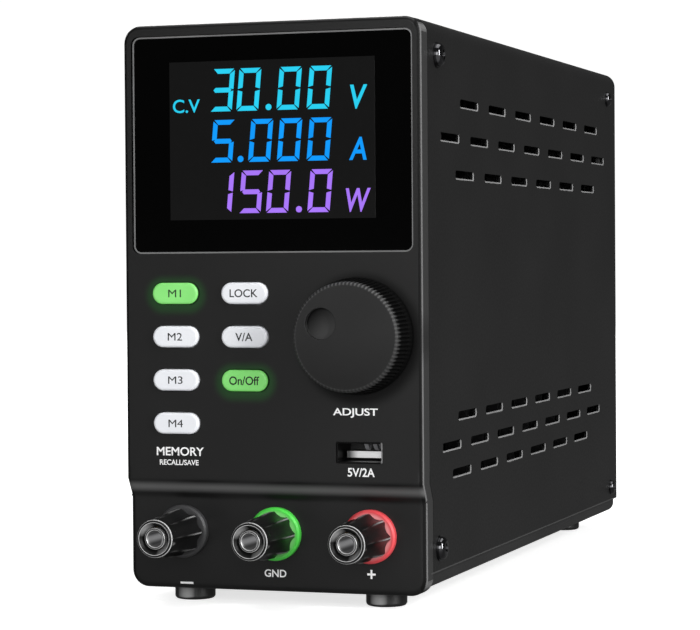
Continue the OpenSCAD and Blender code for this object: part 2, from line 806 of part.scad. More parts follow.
// Insulating collar: a coloured flange on the face and a neck through the panel
module post_collar(x) {
    placed() translate([x, 0, post_z]) difference() {
        turned_y() polygon([[0, lower_y - collar_t], [collar_d / 2 - 0.5, lower_y - collar_t],
            [collar_d / 2, lower_y - collar_t + 0.5], [collar_d / 2, lower_y], [neck_r, lower_y],
            [neck_r, neck_back_y], [0, neck_back_y]]);
        rod_y(stud_d / 2 + run_gap, lower_y - collar_t - past, neck_back_y + past);
    }
}
module post_collar_negative() color("#3a3a3c") post_collar(post_xs[0]);
module post_collar_ground() color("#2f9e4f") post_collar(post_xs[1]);
module post_collar_positive() color("#e8464a") post_collar(post_xs[2]);

// Metal studs: a shoulder on the collar, a socket for a plug and a hole for bare wire
module post_studs() color("#cfd0d2") placed() for (x = post_xs) translate([x, 0, post_z]) {
    difference() {
        turned_y() polygon([[0, stud_tip_y], [stud_d / 2 - 0.15, stud_tip_y],
            [stud_d / 2, stud_tip_y + 0.15], [stud_d / 2, shoulder_y], [shoulder_r, shoulder_y],
            [shoulder_r, shoulder_y + shoulder_t], [stud_d / 2, shoulder_y + shoulder_t],
            [stud_d / 2, stud_back_y], [0, stud_back_y]]);
        rod_y(jack_d / 2, stud_tip_y - past, stud_tip_y + jack_l);
        translate([0, shoulder_y - wire_hole_r - 0.2, -stud_d]) cylinder(r = wire_hole_r,
            h = 2 * stud_d);
        turned_y() polygon([[0, stud_tip_y - 0.01], [jack_d / 2 + 0.4, stud_tip_y - 0.01],
            [jack_d / 2, stud_tip_y + 0.4], [0, stud_tip_y + 0.4]]);
    }
}

module post_nuts() color("#b8babd") placed() for (x = post_xs) translate([x, 0, post_z]) {
    difference() {
        rod_y(neck_r + 1.5, neck_back_y, neck_back_y + washer_t);
        rod_y(stud_d / 2 + run_gap, neck_back_y - past, lug_y + past);
    }
    difference() {
        rotate([-90, 0, 0]) translate([0, 0, nut_y]) cylinder(r = stud_d * 0.97, h = nut_t, $fn = 6);
        rod_y(stud_d / 2 + run_gap, nut_y - past, nut_y + nut_t + past);
    }
}

module post_lugs() color("#c8b27a") placed() for (x = post_xs) translate([x, 0, post_z]) {
    difference() {
        union() {
            rod_y(stud_d / 2 + lug_rim, lug_y, nut_y);
            translate([-lug_w / 2, lug_y, 0]) cube([lug_w, lug_t, lug_tab_top]);
        }
        rod_y(stud_d / 2 + run_gap, lug_y - past, nut_y + past);
    }
}

// Case

// Rounded slot through both sides of the cover, centred on y and z
module vent_slot(y, z) {
    translate([0, y, z]) along_x(-half_w - past, half_w + past) round_rect(vent_l, vent_h, vent_h * 0.4);
}

// Row of slots that starts at y and ends before the land at the rear wall
module vent_row(y, z, pitch) {
    count = floor((rear_y - vent_rear_land - y) / pitch);
    for (i = [0:count]) vent_slot(y + i * pitch, z);
}

// Cover screws on a side, as [y, z, head diameter, shank radius]
screw_places = [[screw_front, top_z - screw_drop, head_d, head_d / 4],
    [screw_front, foot_h + screw_rise, head_d, head_d / 4],
    [rear_y - screw_rear, top_z - screw_drop, rear_head_d, m3_r],
    [rear_y - low_screw_rear, foot_h + low_rear_rise, rear_head_d, m3_r]];
shank_l = 5;

// Holes for the cover screws through both sides of the case
module cover_screw_holes() for (p = screw_places) {
    translate([0, p[0], p[1]]) rod_x(p[3] + 0.1, -half_w - past, half_w + past);
}

module top_cover() color("#303032") placed() difference() {
    along_y(panel_d + seam_gap, rear_y) difference() {
        translate([0, foot_h + body_h / 2]) round_rect(body_w, body_h, fold_r);
        translate([0, foot_h + body_h / 2 - fold_r]) round_rect(body_w - 2 * sheet_t,
            body_h - 2 * sheet_t + 2 * fold_r, fold_r - sheet_t);
        translate([-body_w, foot_h - past]) square([2 * body_w, cover_edge_z - foot_h + past]);
    }
    along_x(-body_w, body_w) polygon([[0, top_z + past], [0, 0], [tray_y, 0], [tray_y, step_z],
        [panel_d + seam_gap, slope_z], [panel_d + seam_gap, top_z + past]]);
    for (i = [0:2]) {
        vent_row(vent_top_starts[i], top_z - vent_top_drop - i * vent_top_rows, vent_top_pitch);
        vent_row(vent_low_starts[i], foot_h + vent_low_rise + i * vent_low_rows, vent_low_pitch);
    }
    cover_screw_holes();
}

// Reach of the rear wall's flanges at the sides and at the top
side_flange = 20;
top_flange = 10;

module base_tray() color("#29292b") placed() difference() {
    union() {
        // Bottom with its two side flanges
        along_y(tray_y, rear_y) intersection() {
            difference() {
                translate([0, tray_z + body_h / 2]) round_rect(2 * tray_x, body_h, tray_fold_r);
                translate([0, floor_z + body_h / 2]) round_rect(2 * (tray_x - sheet_t), body_h,
                    tray_fold_r - sheet_t);
            }
            translate([-half_w, tray_z]) square([body_w, flange_h]);
        }
        // Rear wall
        along_y(inner_rear_y, rear_y) intersection() {
            translate([0, (tray_z + wall_top_z) / 2]) round_rect(2 * tray_x, wall_top_z - tray_z,
                tray_fold_r);
            translate([-half_w, tray_z]) square([body_w, body_h]);
        }
        // Flanges of the rear wall under the cover
        for (side = [-1, 1]) translate([side * (tray_x - sheet_t / 2), 0, 0])
            translate([-sheet_t / 2, inner_rear_y - side_flange, wall_flange_z])
                cube([sheet_t, side_flange + sheet_t / 2, wall_top_z - tray_fold_r - 1
                    - wall_flange_z]);
        translate([3 * tray_fold_r - tray_x, inner_rear_y - top_flange, wall_top_z - sheet_t])
            cube([2 * tray_x - 6 * tray_fold_r, top_flange + sheet_t / 2, sheet_t]);
    }
    cover_screw_holes();
    // Fan opening and its screw holes
    translate([0, 0, fan_z]) rod_y(fan_r, inner_rear_y - past, rear_y + past);
    for (p = fan_holes) translate([p.x, 0, p.y]) rod_y(m3_hole_r, inner_rear_y - past, rear_y + past);
    // Mains inlet, power switch and voltage selector
    translate([-inlet_x, 0, inlet_z]) {
        along_y(inner_rear_y - past, rear_y + past) square([inlet_w + 2 * lay_gap,
            inlet_h + 2 * lay_gap], center = true);
        for (x = [-inlet_ear, inlet_ear]) {
            translate([x, 0, 0]) rod_y(m3_hole_r, inner_rear_y - past, rear_y + past);
        }
    }
    translate([rocker_x, 0, inlet_z]) along_y(inner_rear_y - past, rear_y + past)
        square([switch_flange_w - 2 + 2 * lay_gap, switch_flange_h - 2 + 2 * lay_gap], center = true);
    translate([selector_x, 0, selector_z]) along_y(inner_rear_y - past, rear_y + past)
        square([selector_w + 2 * lay_gap, selector_h + 2 * lay_gap], center = true);
    // Holes for the feet's screws
    for (p = foot_places) translate([p.x, p.y, 0]) cylinder(r = m3_hole_r, h = floor_z + past);
}

// Steel frame behind the front panel: it ties the panel to the tray and takes the top screws
module front_frame() color("#a9abae") placed() difference() {
    low_x = tray_x - sheet_t - lay_gap;
    plate_z = floor_z;
    flange_front_y = tray_y + 1;
    foot_l = 7;
    union() {
        along_y(frame_y, frame_back_y) {
            translate([-tray_x, wall_flange_z]) square([2 * tray_x, top_z - fold_r - 1
                - wall_flange_z]);
            translate([-low_x + tray_fold_r, plate_z]) square([2 * (low_x - tray_fold_r),
                wall_flange_z - plate_z]);
            translate([-low_x, plate_z + tray_fold_r]) square([2 * low_x, wall_flange_z - plate_z
                - tray_fold_r + 0.1]);
        }
        for (x = [-tray_x, tray_x - sheet_t]) {
            translate([x, flange_front_y, wall_flange_z]) cube([sheet_t, frame_back_y
                - flange_front_y, top_z - fold_r - 1 - wall_flange_z]);
        }
        translate([tray_fold_r - low_x, frame_y, plate_z]) cube([2 * (low_x - tray_fold_r), foot_l,
            sheet_t]);
    }
    along_y(frame_y - past, frame_back_y + past) {
        for (x = post_xs) translate([x, post_z + lead_rise]) circle(lead_hole_r);
        translate([ribbon_x, ribbon_z]) round_rect(ribbon_w + 4, plug_h, 2);
    }
    for (p = frame_bosses) translate([p.x, 0, p.y]) rod_y(m3_hole_r, frame_y - past,
        frame_back_y + past);
    cover_screw_holes();
}

// Domed screws, all of one shape: the rear ones are smaller
module cover_screws() color("#1b1b1c") placed() for (side = [0, 1], p = screw_places) {
    h = head_h * p[2] / head_d;
    dome_r = p[2] * 0.72;
    mirror([side, 0, 0]) translate([half_w, p[0], p[1]]) rotate([0, 0, -90]) {
        turned_y() intersection() {
            translate([0, h - dome_r]) circle(dome_r, $fn = 96);
            square([p[2] / 2, h]);
        }
        rod_y(p[3], -shank_l, 0.1);
    }
}

foot_ys = [foot_front, rear_y - foot_rear];
foot_places = [for (x = [-foot_x, foot_x], y = foot_ys) [x, y]];
foot_recess = 2.6;

module feet() color("#161616") placed() for (p = foot_places) translate([p.x, p.y, 0]) {
    difference() {
        rotate_extrude() {
            soft_edge_down(foot_d / 2, foot_h - 0.3, 1);
            square([m3_head_r + 1, tray_z]);
        }
        translate([0, 0, -past]) cylinder(r = m3_head_r + 0.4, h = foot_recess + past);
        cylinder(r = m3_pilot_r, h = tray_z + past);
    }
}

// Half outline of a disc whose lower edge is rounded
module soft_edge_down(half, h, r) {
    translate([0, h]) mirror([0, 1]) soft_edge(half, h, r);
}

// Every M3 screw in the case, one solid each
module m3_screws() color("#55575a") placed() {
    for (p = frame_bosses) translate([p.x, frame_back_y, p.y]) m3_screw();
    for (p = board_bosses) translate([p.x, board_back_y, p.y]) m3_screw();
    for (p = main_corners) translate([p.x, p.y, main_top_z]) rotate([90, 0, 0]) m3_screw();
    for (p = foot_places) translate([p.x, p.y, foot_recess]) rotate([-90, 0, 0]) m3_screw();
    for (p = fan_holes) translate([p.x, guard_y + wire_r + 0.03, p.y]) m3_screw();
    for (x = [-inlet_ear, inlet_ear]) {
        translate([x - inlet_x, rear_y + inlet_flange_t, inlet_z]) m3_screw();
    }
}

// Main board and what it carries

module main_board() color("#1f6a3c") placed() difference() {
    translate([-main_half_w, main_front_y, main_z]) cube([2 * main_half_w,
        main_rear_y - main_front_y, pcb_t]);
    for (p = main_corners) translate([p.x, p.y, main_z - past]) cylinder(r = m3_hole_r,
        h = pcb_t + 2 * past);
}

module board_standoffs() color("#c9a54b") placed() for (p = main_corners) {
    translate([p.x, p.y, floor_z]) difference() {
        cylinder(r = boss_r, h = standoff_h);
        translate([0, 0, 1]) cylinder(r = m3_pilot_r, h = standoff_h);
    }
}

// Transformer: a two-window core round the middle of a wound bobbin
core_w = 36;
core_h = 34;
core_d = 14;
core_leg = 6;
core_window = 6;
core_setback = 70;
core_y = main_front_y + core_setback;
bobbin_foot = 3;
bobbin_gap = 0.3;

module transformer_core() color("#3b3b3e") placed() {
    translate([0, 0, main_top_z + bobbin_foot + core_h / 2]) difference() {
        along_y(core_y - core_d / 2, core_y + core_d / 2) square([core_w, core_h], center = true);
        for (side = [-1, 1]) translate([side * (core_leg + core_window / 2), 0, 0])
            along_y(core_y - core_d, core_y + core_d) square([core_window, core_h - 2 * core_leg],
                center = true);
    }
}

module transformer_coil() color("#c98a2b") placed() {
    coil_z = main_top_z + bobbin_foot + core_leg + bobbin_gap;
    coil_h = core_h - 2 * core_leg - 2 * bobbin_gap;
    coil_w = 2 * (core_leg + core_window - bobbin_gap);
    coil_d = core_d + 2 * core_window;
    translate([0, core_y, coil_z]) linear_extrude(coil_h) difference() {
        round_rect(coil_w, coil_d, 3);
        square([2 * core_leg + 2 * bobbin_gap, core_d + 2 * bobbin_gap], center = true);
    }
    for (side = [-1, 1]) translate([-core_leg, core_y + side * (core_d / 2 + core_window / 2) - 2,
        main_top_z + bobbin_foot - 0.1]) cube([2 * core_leg, 4, core_leg + bobbin_gap + 0.2]);
    translate([0, core_y, main_top_z]) linear_extrude(bobbin_foot) round_rect(core_w - 2,
        coil_d, 2);
}

// Extruded heatsinks at the board's two sides, with fins towards the cover
sink_t = 2.5;
sink_fin_l = 4;
sink_fin_t = 1.4;
sink_fins = 8;
sink_l = 126;
sink_h = 128;
sink_x = main_half_w - sink_t - sink_fin_l - 0.5;
sink_setback = 38;
sink_y = main_front_y + sink_setback;

module heatsinks() color("#b9bcbf") placed() for (side = [0, 1]) mirror([side, 0, 0]) {
    translate([sink_x, sink_y, main_top_z]) linear_extrude(sink_h) {
        square([sink_t, sink_l]);
        for (i = [0:sink_fins - 1]) {
            translate([sink_t - 0.1, i * (sink_l - sink_fin_t) / (sink_fins - 1)])
                square([sink_fin_l + 0.1, sink_fin_t]);
        }
    }
}

// Two power transistors on each heatsink, standing on their three legs. They are placed by
// parts of the heatsink's length.
pack_places = [0.22, 0.55];
pack_w = 15.6;
pack_h = 20.5;
pack_t = 5;
pack_lift = 12;
leg_w = 1.2;
leg_t = 0.8;
leg_pitch = 5.4;

module power_transistors() color("#1b1b1c") placed() for (side = [0, 1], y = pack_places) {
    mirror([side, 0, 0]) translate([sink_x - pack_t, sink_y + y * sink_l - pack_w / 2, main_top_z]) {
        translate([0, 0, pack_lift]) cube([pack_t, pack_w, pack_h]);
        for (k = [-1:1]) translate([(pack_t - leg_t) / 2, (pack_w - leg_w) / 2 + k * leg_pitch, 0])
            cube([leg_t, leg_w, pack_lift + 0.1]);
    }
}

// Standing capacitor with a crimped groove near the base and a scored top
can_groove_z = 2;
can_groove_h = 1.6;
can_groove_d = 0.6;
can_edge = 1;

module can_capacitor(d, h) {
    difference() {
        rotate_extrude() polygon([[0, 0], [d / 2, 0], [d / 2, can_groove_z],
            [d / 2 - can_groove_d, can_groove_z + can_groove_h / 2],
            [d / 2, can_groove_z + can_groove_h], [d / 2, h - can_edge], [d / 2 - can_edge, h],
            [0, h]]);
        for (a = [0, 90]) translate([0, 0, h]) rotate([0, 0, a]) cube([d * 0.6, can_groove_d,
            can_groove_d], center = true);
    }
}

input_can_d = 25;
input_can_h = 40;
input_can_rear = 40;
module input_capacitors() color("#26304a") placed() for (x = [-1, 1]) {
    translate([x * (input_can_d / 2 + 1), main_rear_y - input_can_rear, main_top_z])
        can_capacitor(input_can_d, input_can_h);
}

// Row at the board's front: three capacitors and a wound ring choke
output_setback = 28;
output_row_y = main_front_y + output_setback;
output_can_d = 12.5;
output_can_h = 25;
output_edge = 2;
module output_capacitors() color("#2c2c2e") placed() for (i = [0:2]) {
    translate([output_edge - main_half_w + output_can_d / 2 + i * (output_can_d + 1),
        output_row_y, main_top_z]) can_capacitor(output_can_d, output_can_h);
}

choke_r = 8.5;
choke_ring = 6;
choke_h = 9;
module output_choke() color("#b46a24") placed() {
    translate([main_half_w - output_edge - choke_r, output_row_y, main_top_z]) rotate_extrude()
        translate([choke_r - choke_ring / 2, choke_h / 2]) round_rect(choke_ring, choke_h, 2.4);
}

// Line filter: two windings between a base and a yoke
filter_w = 22;
filter_d = 16;
filter_base_t = 3;
filter_r = 4.2;
filter_yoke_t = 3.5;
filter_h = 15.5;
module line_filter() color("#a66a2c") placed() {
    translate([-inlet_x - 1.5, main_rear_y - filter_d, main_top_z]) {
        linear_extrude(filter_base_t) round_rect(filter_w, filter_d, 2);
        for (x = [-filter_w / 3, filter_w / 3]) {
            translate([x, 0, filter_base_t - 0.1]) cylinder(r = filter_r, h = filter_h - filter_base_t);
        }
        translate([0, 0, filter_h - filter_yoke_t]) linear_extrude(filter_yoke_t)
            round_rect(filter_w - 2, filter_d / 2, 3);
    }
}

// Rear panel: fan, mains inlet, power switch and voltage selector

module fan_frame() color("#1b1b1c") placed() translate([0, 0, fan_z]) difference() {
    union() {
        along_y(fan_front_y, inner_rear_y) difference() {
            round_rect(fan_w, fan_w, 4);
            circle(fan_r);
        }
        rod_y(fan_hub_r, fan_front_y, fan_front_y + fan_strut);
        for (a = [0:120:240]) rotate([0, a + 45, 0]) translate([fan_hub_r - 1, fan_front_y, -2])
            cube([fan_r - fan_hub_r + 2, fan_strut, 4]);
        rod_y(m3_r, fan_front_y + fan_strut - 0.1, fan_pin_y);
    }
    for (x = [-1, 1], z = [-1, 1]) {
        translate([x * fan_hole, 0, z * fan_hole]) rod_y(m3_pilot_r, inner_rear_y - m3_l,
            inner_rear_y + past);
    }
}

module fan_rotor() color("#242426") placed() translate([0, 0, fan_z]) {
    hub_front_y = fan_front_y + fan_strut + 0.3;
    hub_rear_y = inner_rear_y - 1;
    mid_y = (hub_front_y + hub_rear_y) / 2;
    blade_l = fan_r - fan_hub_r + 4;
    difference() {
        union() {
            rod_y(fan_hub_r, hub_front_y, hub_rear_y);
            intersection() {
                rod_y(fan_r - fan_tip_gap, hub_front_y, hub_rear_y);
                for (i = [0:fan_blades - 1]) rotate([0, i * 360 / fan_blades, 0])
                    translate([fan_hub_r - 2 + blade_l / 2, mid_y, 0]) rotate([blade_tilt, 0, 0])
                        cube([blade_l, hub_rear_y - hub_front_y - 1.7, blade_t], center = true);
            }
        }
        rod_y(m3_r + run_gap, hub_front_y - past, fan_pin_y + 0.4);
    }
}

// Round wire guard: rings on four spokes that end in eyes under the screws
module fan_guard() color("#c4c6c9") placed() translate([0, 0, fan_z]) {
    eye_r = m3_r + 0.3 + wire_r;
    for (k = [0.25, 0.5, 0.75, 1]) turned_y(72) translate([k * fan_r, guard_y + 1.3 * wire_r])
        circle(wire_r, $fn = 16);
    for (x = [-1, 1], z = [-1, 1]) {
        translate([x * fan_hole, 0, z * fan_hole]) turned_y() translate([eye_r, guard_y])
            circle(wire_r, $fn = 16);
    }
    for (a = [45:90:315]) rotate([0, a, 0]) translate([0, guard_y, 0])
        rod_x(wire_r, 0.22 * fan_r, norm([fan_hole, fan_hole]) - eye_r + 0.2, $fn = 16);
}

// Outline of the inlet's socket: two bevelled corners beside the earth pin
module socket_outline() {
    w = socket_w / 2;
    h = socket_h / 2;
    polygon([[-w, -h], [w, -h], [w, h - socket_bevel], [w - socket_bevel, h],
        [socket_bevel - w, h], [-w, h - socket_bevel]]);
}

pin_pitch = 14;
pin_stagger = 2;
pin_places = [[-pin_pitch / 2, socket_rise - pin_stagger], [pin_pitch / 2, socket_rise - pin_stagger],
    [0, socket_rise + pin_stagger]];
pin_tail = 6;
pin_w = 2;
pin_h = 4;
drawer_front_y = rear_y + inlet_flange_t + drawer_lip;
drawer_back_y = drawer_front_y - drawer_l;

module mains_inlet() color("#161617") placed() translate([-inlet_x, 0, inlet_z]) difference() {
    union() {
        along_y(rear_y, rear_y + inlet_flange_t) round_rect(inlet_flange_w, inlet_flange_h, 3);
        along_y(rear_y - inlet_l, rear_y + 0.1) square([inlet_w, inlet_h], center = true);
    }
    translate([0, 0, socket_rise]) along_y(rear_y + inlet_flange_t - socket_l,
        rear_y + inlet_flange_t + past) socket_outline();
    for (p = pin_places) translate([p.x, 0, p.y]) along_y(rear_y - inlet_l - past, rear_y)
        square([pin_w + 0.1, pin_h + 0.1], center = true);
    translate([0, 0, -drawer_drop]) along_y(drawer_back_y - 0.4, rear_y + inlet_flange_t + past)
        square([drawer_w + 2 * drawer_gap, drawer_h + 2 * drawer_gap], center = true);
    for (x = [-inlet_ear, inlet_ear]) translate([x, 0, 0]) rod_y(m3_hole_r, rear_y - past,
        rear_y + inlet_flange_t + past);
}

module inlet_pins() color("#cfd0d2") placed() for (p = pin_places) {
    translate([p.x - inlet_x, 0, inlet_z + p.y]) along_y(rear_y - inlet_l - pin_tail, rear_y)
        square([pin_w, pin_h], center = true);
}

// Middles of the two fuses along y: one in use and a spare
fuse_ys = [drawer_front_y - drawer_front - fuse_pocket / 2,
    drawer_front_y - drawer_front - drawer_wall - 1.5 * fuse_pocket];

module fuse_drawer() color("#202022") placed() translate([-inlet_x, 0, inlet_z - drawer_drop]) {
    difference() {
        along_y(drawer_back_y, drawer_front_y) square([drawer_w, drawer_h], center = true);
        for (y = fuse_ys) translate([-fuse_l / 2 - 0.3, y - fuse_pocket / 2,
            drawer_wall - drawer_h / 2]) cube([fuse_l + 0.6, fuse_pocket, drawer_h]);
    }
    along_y(drawer_front_y - 0.1, drawer_front_y + drawer_grip) square([10, 1.6], center = true);
}

module fuses() color("#d8dadd") placed() for (y = fuse_ys) {
    translate([-inlet_x, y, inlet_z - drawer_drop - drawer_h / 2 + drawer_wall + fuse_r + 0.05]) {
        for (side = [0, 1]) mirror([side, 0, 0]) rod_x(fuse_r, fuse_l / 2 - fuse_cap, fuse_l / 2);
        rod_x(fuse_r - 0.3, fuse_cap - fuse_l / 2 - 0.1, fuse_l / 2 - fuse_cap + 0.1);
    }
}

module switch_housing() color("#161617") placed() translate([rocker_x, 0, inlet_z]) difference() {
    union() {
        along_y(rear_y, rear_y + switch_flange_t) round_rect(switch_flange_w, switch_flange_h, 1);
        along_y(rear_y - switch_l, rear_y + 0.1) square([switch_flange_w - 2, switch_flange_h - 2],
            center = true);
    }
    along_y(rocker_y - 5.4, rear_y + switch_flange_t + past) square([rocker_w + 2 * rocker_gap,
        2 * (rocker_r + rocker_gap)], center = true);
    translate([0, rocker_y, 0]) rod_x(rocker_pin_r + run_gap, -rocker_w / 2 - rocker_gap - 0.9,
        rocker_w / 2 + rocker_gap + 0.9);
}

module power_rocker() color("#1d1d1f") placed() translate([rocker_x, rocker_y, inlet_z]) {
    rotate([-rocker_swing / 2, 0, 0]) {
        along_x(-rocker_w / 2, rocker_w / 2) intersection() {
            circle(rocker_r, $fn = 96);
            polygon([[-3, -rocker_r], [3.9, -rocker_r], [2.9, 0], [3.9, rocker_r], [-3, rocker_r]]);
        }
        rod_x(rocker_pin_r, -rocker_w / 2 - rocker_gap - 0.7, rocker_w / 2 + rocker_gap + 0.7);
    }
}

module selector_housing() color("#b3262b") placed() translate([selector_x, 0, selector_z]) {
    difference() {
        union() {
            along_y(rear_y, rear_y + selector_flange_t) round_rect(selector_w + 4 * selector_rim,
                selector_h + 2 * selector_rim, 1);
            along_y(rear_y - selector_l, rear_y + 0.1) square([selector_w, selector_h], center = true);
        }
        along_y(rear_y - 2.5, rear_y + selector_flange_t + past)
            square([selector_slide_w + selector_travel + 0.6, selector_slide_h + 0.4], center = true);
    }
}

module selector_slider() color("#e7e7e7") placed() {
    translate([selector_x - selector_travel / 2, 0, selector_z]) difference() {
        along_y(rear_y - 2.3, rear_y + 1.1) square([selector_slide_w, selector_slide_h], center = true);
        along_y(rear_y + 0.2, rear_y + past + 1) square([1.2, 3.6], center = true);
    }
}

// Wiring

// Wire that runs along y at height z, then bends down to the main board
module wire_down(x, from_y, to_y, z, r) {
    bend = 4;
    back = to_y < from_y ? 1 : 0;
    translate([x, 0, 0]) translate([0, to_y, 0]) mirror([0, back, 0]) {
        run = abs(to_y - from_y);
        translate([0, 0, z]) rod_y(r, -run, -bend);
        translate([0, -bend, z - bend]) rotate([90, 0, 90]) rotate_extrude(angle = 90)
            translate([bend, 0]) circle(r);
        translate([0, 0, main_top_z]) cylinder(r = r, h = z - bend - main_top_z);
    }
}

output_land = 14;
module output_leads() color("#b3262b") placed() for (x = post_xs) {
    wire_down(x, nut_y, main_front_y + output_land, post_z + lead_rise, lead_r);
}

mains_r = 1.1;
mains_land = 5.5;
fan_lead_rise = 4;
module mains_leads() color("#5b3a24") placed() {
    for (i = [0, 1]) {
        wire_down(pin_places[i].x - inlet_x, rear_y - inlet_l - pin_tail, main_rear_y - mains_land,
            inlet_z + pin_places[i].y, mains_r);
    }
    wire_down(rocker_x - mains_r * 3, rear_y - switch_l, main_rear_y - mains_land, inlet_z, mains_r);
    wire_down(fan_hub_r, fan_front_y, main_rear_y - mains_land, fan_z - fan_w / 2
        + fan_lead_rise, mains_r);
}

ribbon_land = 7;
module ribbon_cable() color("#8d9094") placed() {
    start_y = board_back_y + plug_d;
    drop_y = main_front_y + ribbon_land;
    along_x(ribbon_x - ribbon_w / 2, ribbon_x + ribbon_w / 2) {
        translate([start_y, ribbon_z - ribbon_t / 2]) square([drop_y - ribbon_bend - start_y, ribbon_t]);
        translate([drop_y - ribbon_bend, ribbon_z - ribbon_bend]) intersection() {
            difference() {
                circle(ribbon_bend + ribbon_t / 2);
                circle(ribbon_bend - ribbon_t / 2);
            }
            square(ribbon_bend + ribbon_t);
        }
        translate([drop_y - ribbon_t / 2, main_top_z]) square([ribbon_t, ribbon_z - ribbon_bend
            - main_top_z]);
    }
}

front_panel();
display_window();
lcd_module();
key_m1();
key_m2();
key_m3();
key_m4();
key_lock();
key_va();
key_output();
adjust_knob();
encoder_body();
encoder_plunger();
encoder_shaft();
usb_shell();
usb_tongue();
post_cap_negative();
post_cap_ground();
post_cap_positive();
post_insert_negative();
post_insert_ground();
post_insert_positive();
post_collar_negative();
post_collar_ground();
post_collar_positive();
post_studs();
post_nuts();
post_lugs();
top_cover();
base_tray();
front_frame();
cover_screws();
m3_screws();
feet();
control_board();
tact_switches();
main_board();
board_standoffs();
transformer_core();
transformer_coil();
heatsinks();
power_transistors();
input_capacitors();
output_capacitors();
output_choke();
line_filter();
fan_frame();
fan_rotor();
fan_guard();
mains_inlet();
inlet_pins();
fuse_drawer();
fuses();
switch_housing();
power_rocker();
selector_housing();
selector_slider();
output_leads();
mains_leads();
ribbon_cable();
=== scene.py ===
import math
from functools import partial
import bmesh
import bpy
from mathutils import Matrix, Vector


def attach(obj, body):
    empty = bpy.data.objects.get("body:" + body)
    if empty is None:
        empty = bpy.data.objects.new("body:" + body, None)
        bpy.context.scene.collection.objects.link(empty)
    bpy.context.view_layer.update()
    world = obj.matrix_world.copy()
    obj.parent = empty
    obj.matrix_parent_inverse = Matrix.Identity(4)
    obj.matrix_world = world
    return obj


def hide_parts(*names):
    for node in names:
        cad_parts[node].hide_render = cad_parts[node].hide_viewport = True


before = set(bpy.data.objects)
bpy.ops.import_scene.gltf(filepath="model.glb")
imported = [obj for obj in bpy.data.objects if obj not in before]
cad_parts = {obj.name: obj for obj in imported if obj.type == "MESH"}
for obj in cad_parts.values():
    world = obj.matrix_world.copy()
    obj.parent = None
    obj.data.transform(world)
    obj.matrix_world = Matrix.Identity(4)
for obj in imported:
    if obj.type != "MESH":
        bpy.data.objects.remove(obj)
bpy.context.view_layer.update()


# Camera
# The photograph was taken with a long lens from about 0.8 m, a little to the right of the front
# panel and almost level with it. The place and turn were worked out from the case's straight edges.
yaw, pitch, roll = math.radians(18.64), math.radians(1.25), math.radians(-0.40)
behind = Vector((math.sin(yaw) * math.cos(pitch), -math.cos(yaw) * math.cos(pitch), math.sin(pitch)))
level = Vector((math.cos(yaw), math.sin(yaw), 0.0))
upright = level.cross(-behind)
across = math.cos(roll) * level + math.sin(roll) * upright
upward = -math.sin(roll) * level + math.cos(roll) * upright
bpy.ops.object.camera_add()
camera = bpy.context.object
camera.name = "view_camera"
camera.matrix_world = Matrix.Translation((0.24044, -0.75646, 0.09508)) @ Matrix(
    (across, upward, behind)).transposed().to_4x4()
camera.data.lens = 129.448
camera.data.sensor_width = 36.0
camera.data.clip_start, camera.data.clip_end = 0.02, 60.0
bpy.context.scene.camera = camera


# Base tray and front frame
# Folded sheet steel, powder coated black with the cover. The tray carries everything, and the
# frame ties the front panel to it.
def linear(code):
    """A hex colour as the linear colour that shaders work in."""
    parts = [int(code[i:i + 2], 16) / 255 for i in (1, 3, 5)]
    return (*[c / 12.92 if c <= 0.04045 else ((c + 0.055) / 1.055) ** 2.4 for c in parts], 1.0)


def plug(node, inputs):
    """Sets a node's inputs, listed in the node's own order or by name: a map range takes its value,
    both ends it comes from and both it goes to. An input takes a number, a hex colour, an output,
    or a node, which stands for its first output in use."""
    for name, value in inputs.items() if isinstance(inputs, dict) else enumerate(inputs):
        if isinstance(value, str):
            value = linear(value)
        if isinstance(value, bpy.types.Node):
            value = next(output for output in value.outputs if output.enabled)
        if isinstance(value, bpy.types.NodeSocket):
            node.id_data.links.new(value, node.inputs[name])
        else:
            node.inputs[name].default_value = value


def add_to(tree, kind, inputs=(), **settings):
    """Adds a node with its settings and links. Each material hands back its own add, which is this
    one with the material's node tree filled in."""
    made = tree.nodes.new("ShaderNode" + kind)
    for name, value in settings.items():
        setattr(made, name, value)
    plug(made, inputs)
    return made


def finish(name, dark, pale, drift, grain, depth, roughness, **shader):
    """A solid finish. Its colour drifts between two close shades over drift mm, and a grain of
    grain mm, depth micrometres deep, breaks up its gloss. Returns the material, its add, its
    shader, the place on the object and the colour that drifts."""
    material = bpy.data.materials.new(name)
    material.use_nodes = True
    material.node_tree.nodes.clear()
    add = partial(add_to, material.node_tree)
    place = add("TexCoord").outputs["Object"]
    cloud = add("TexNoise", {"Vector": place, "Scale": 1000 / drift, "Detail": 2.0})
    shade = add("ValToRGB", (cloud,))
    for end, position, code in zip(shade.color_ramp.elements, (0.3, 0.7), (dark, pale)):
        end.position = position
        end.color = linear(code)
    fine = add("TexNoise", {"Vector": place, "Scale": 1000 / grain, "Detail": 3.0})
    gloss = add("MapRange", (fine, 0.3, 0.7, roughness * 0.88, roughness * 1.12))
    relief = add("Bump", {"Height": fine, "Distance": depth / 1e6})
    surface = add("BsdfPrincipled", {"Base Color": shade, "Roughness": gloss, "Normal": relief})
    plug(surface, {socket.replace("_", " "): value for socket, value in shader.items()})
    add("OutputMaterial", (surface,))
    return material, add, surface, place, shade


def dress(material, *names):
    """Gives CAD nodes their finish."""
    for name in names:
        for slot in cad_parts[name].material_slots:
            slot.material = material


# Powder coat on steel: polyester powder flows to an even black skin with a faint orange peel
# about 0.7 mm across, so its highlights are soft and slightly broken.
tray_paint = finish("powder_coated_steel_tray", "#242424", "#2C2C2C", 30, 0.7, 12, 0.42,
                    Specular_IOR_Level=0.35)[0]
dress(tray_paint, "base_tray", "front_frame")


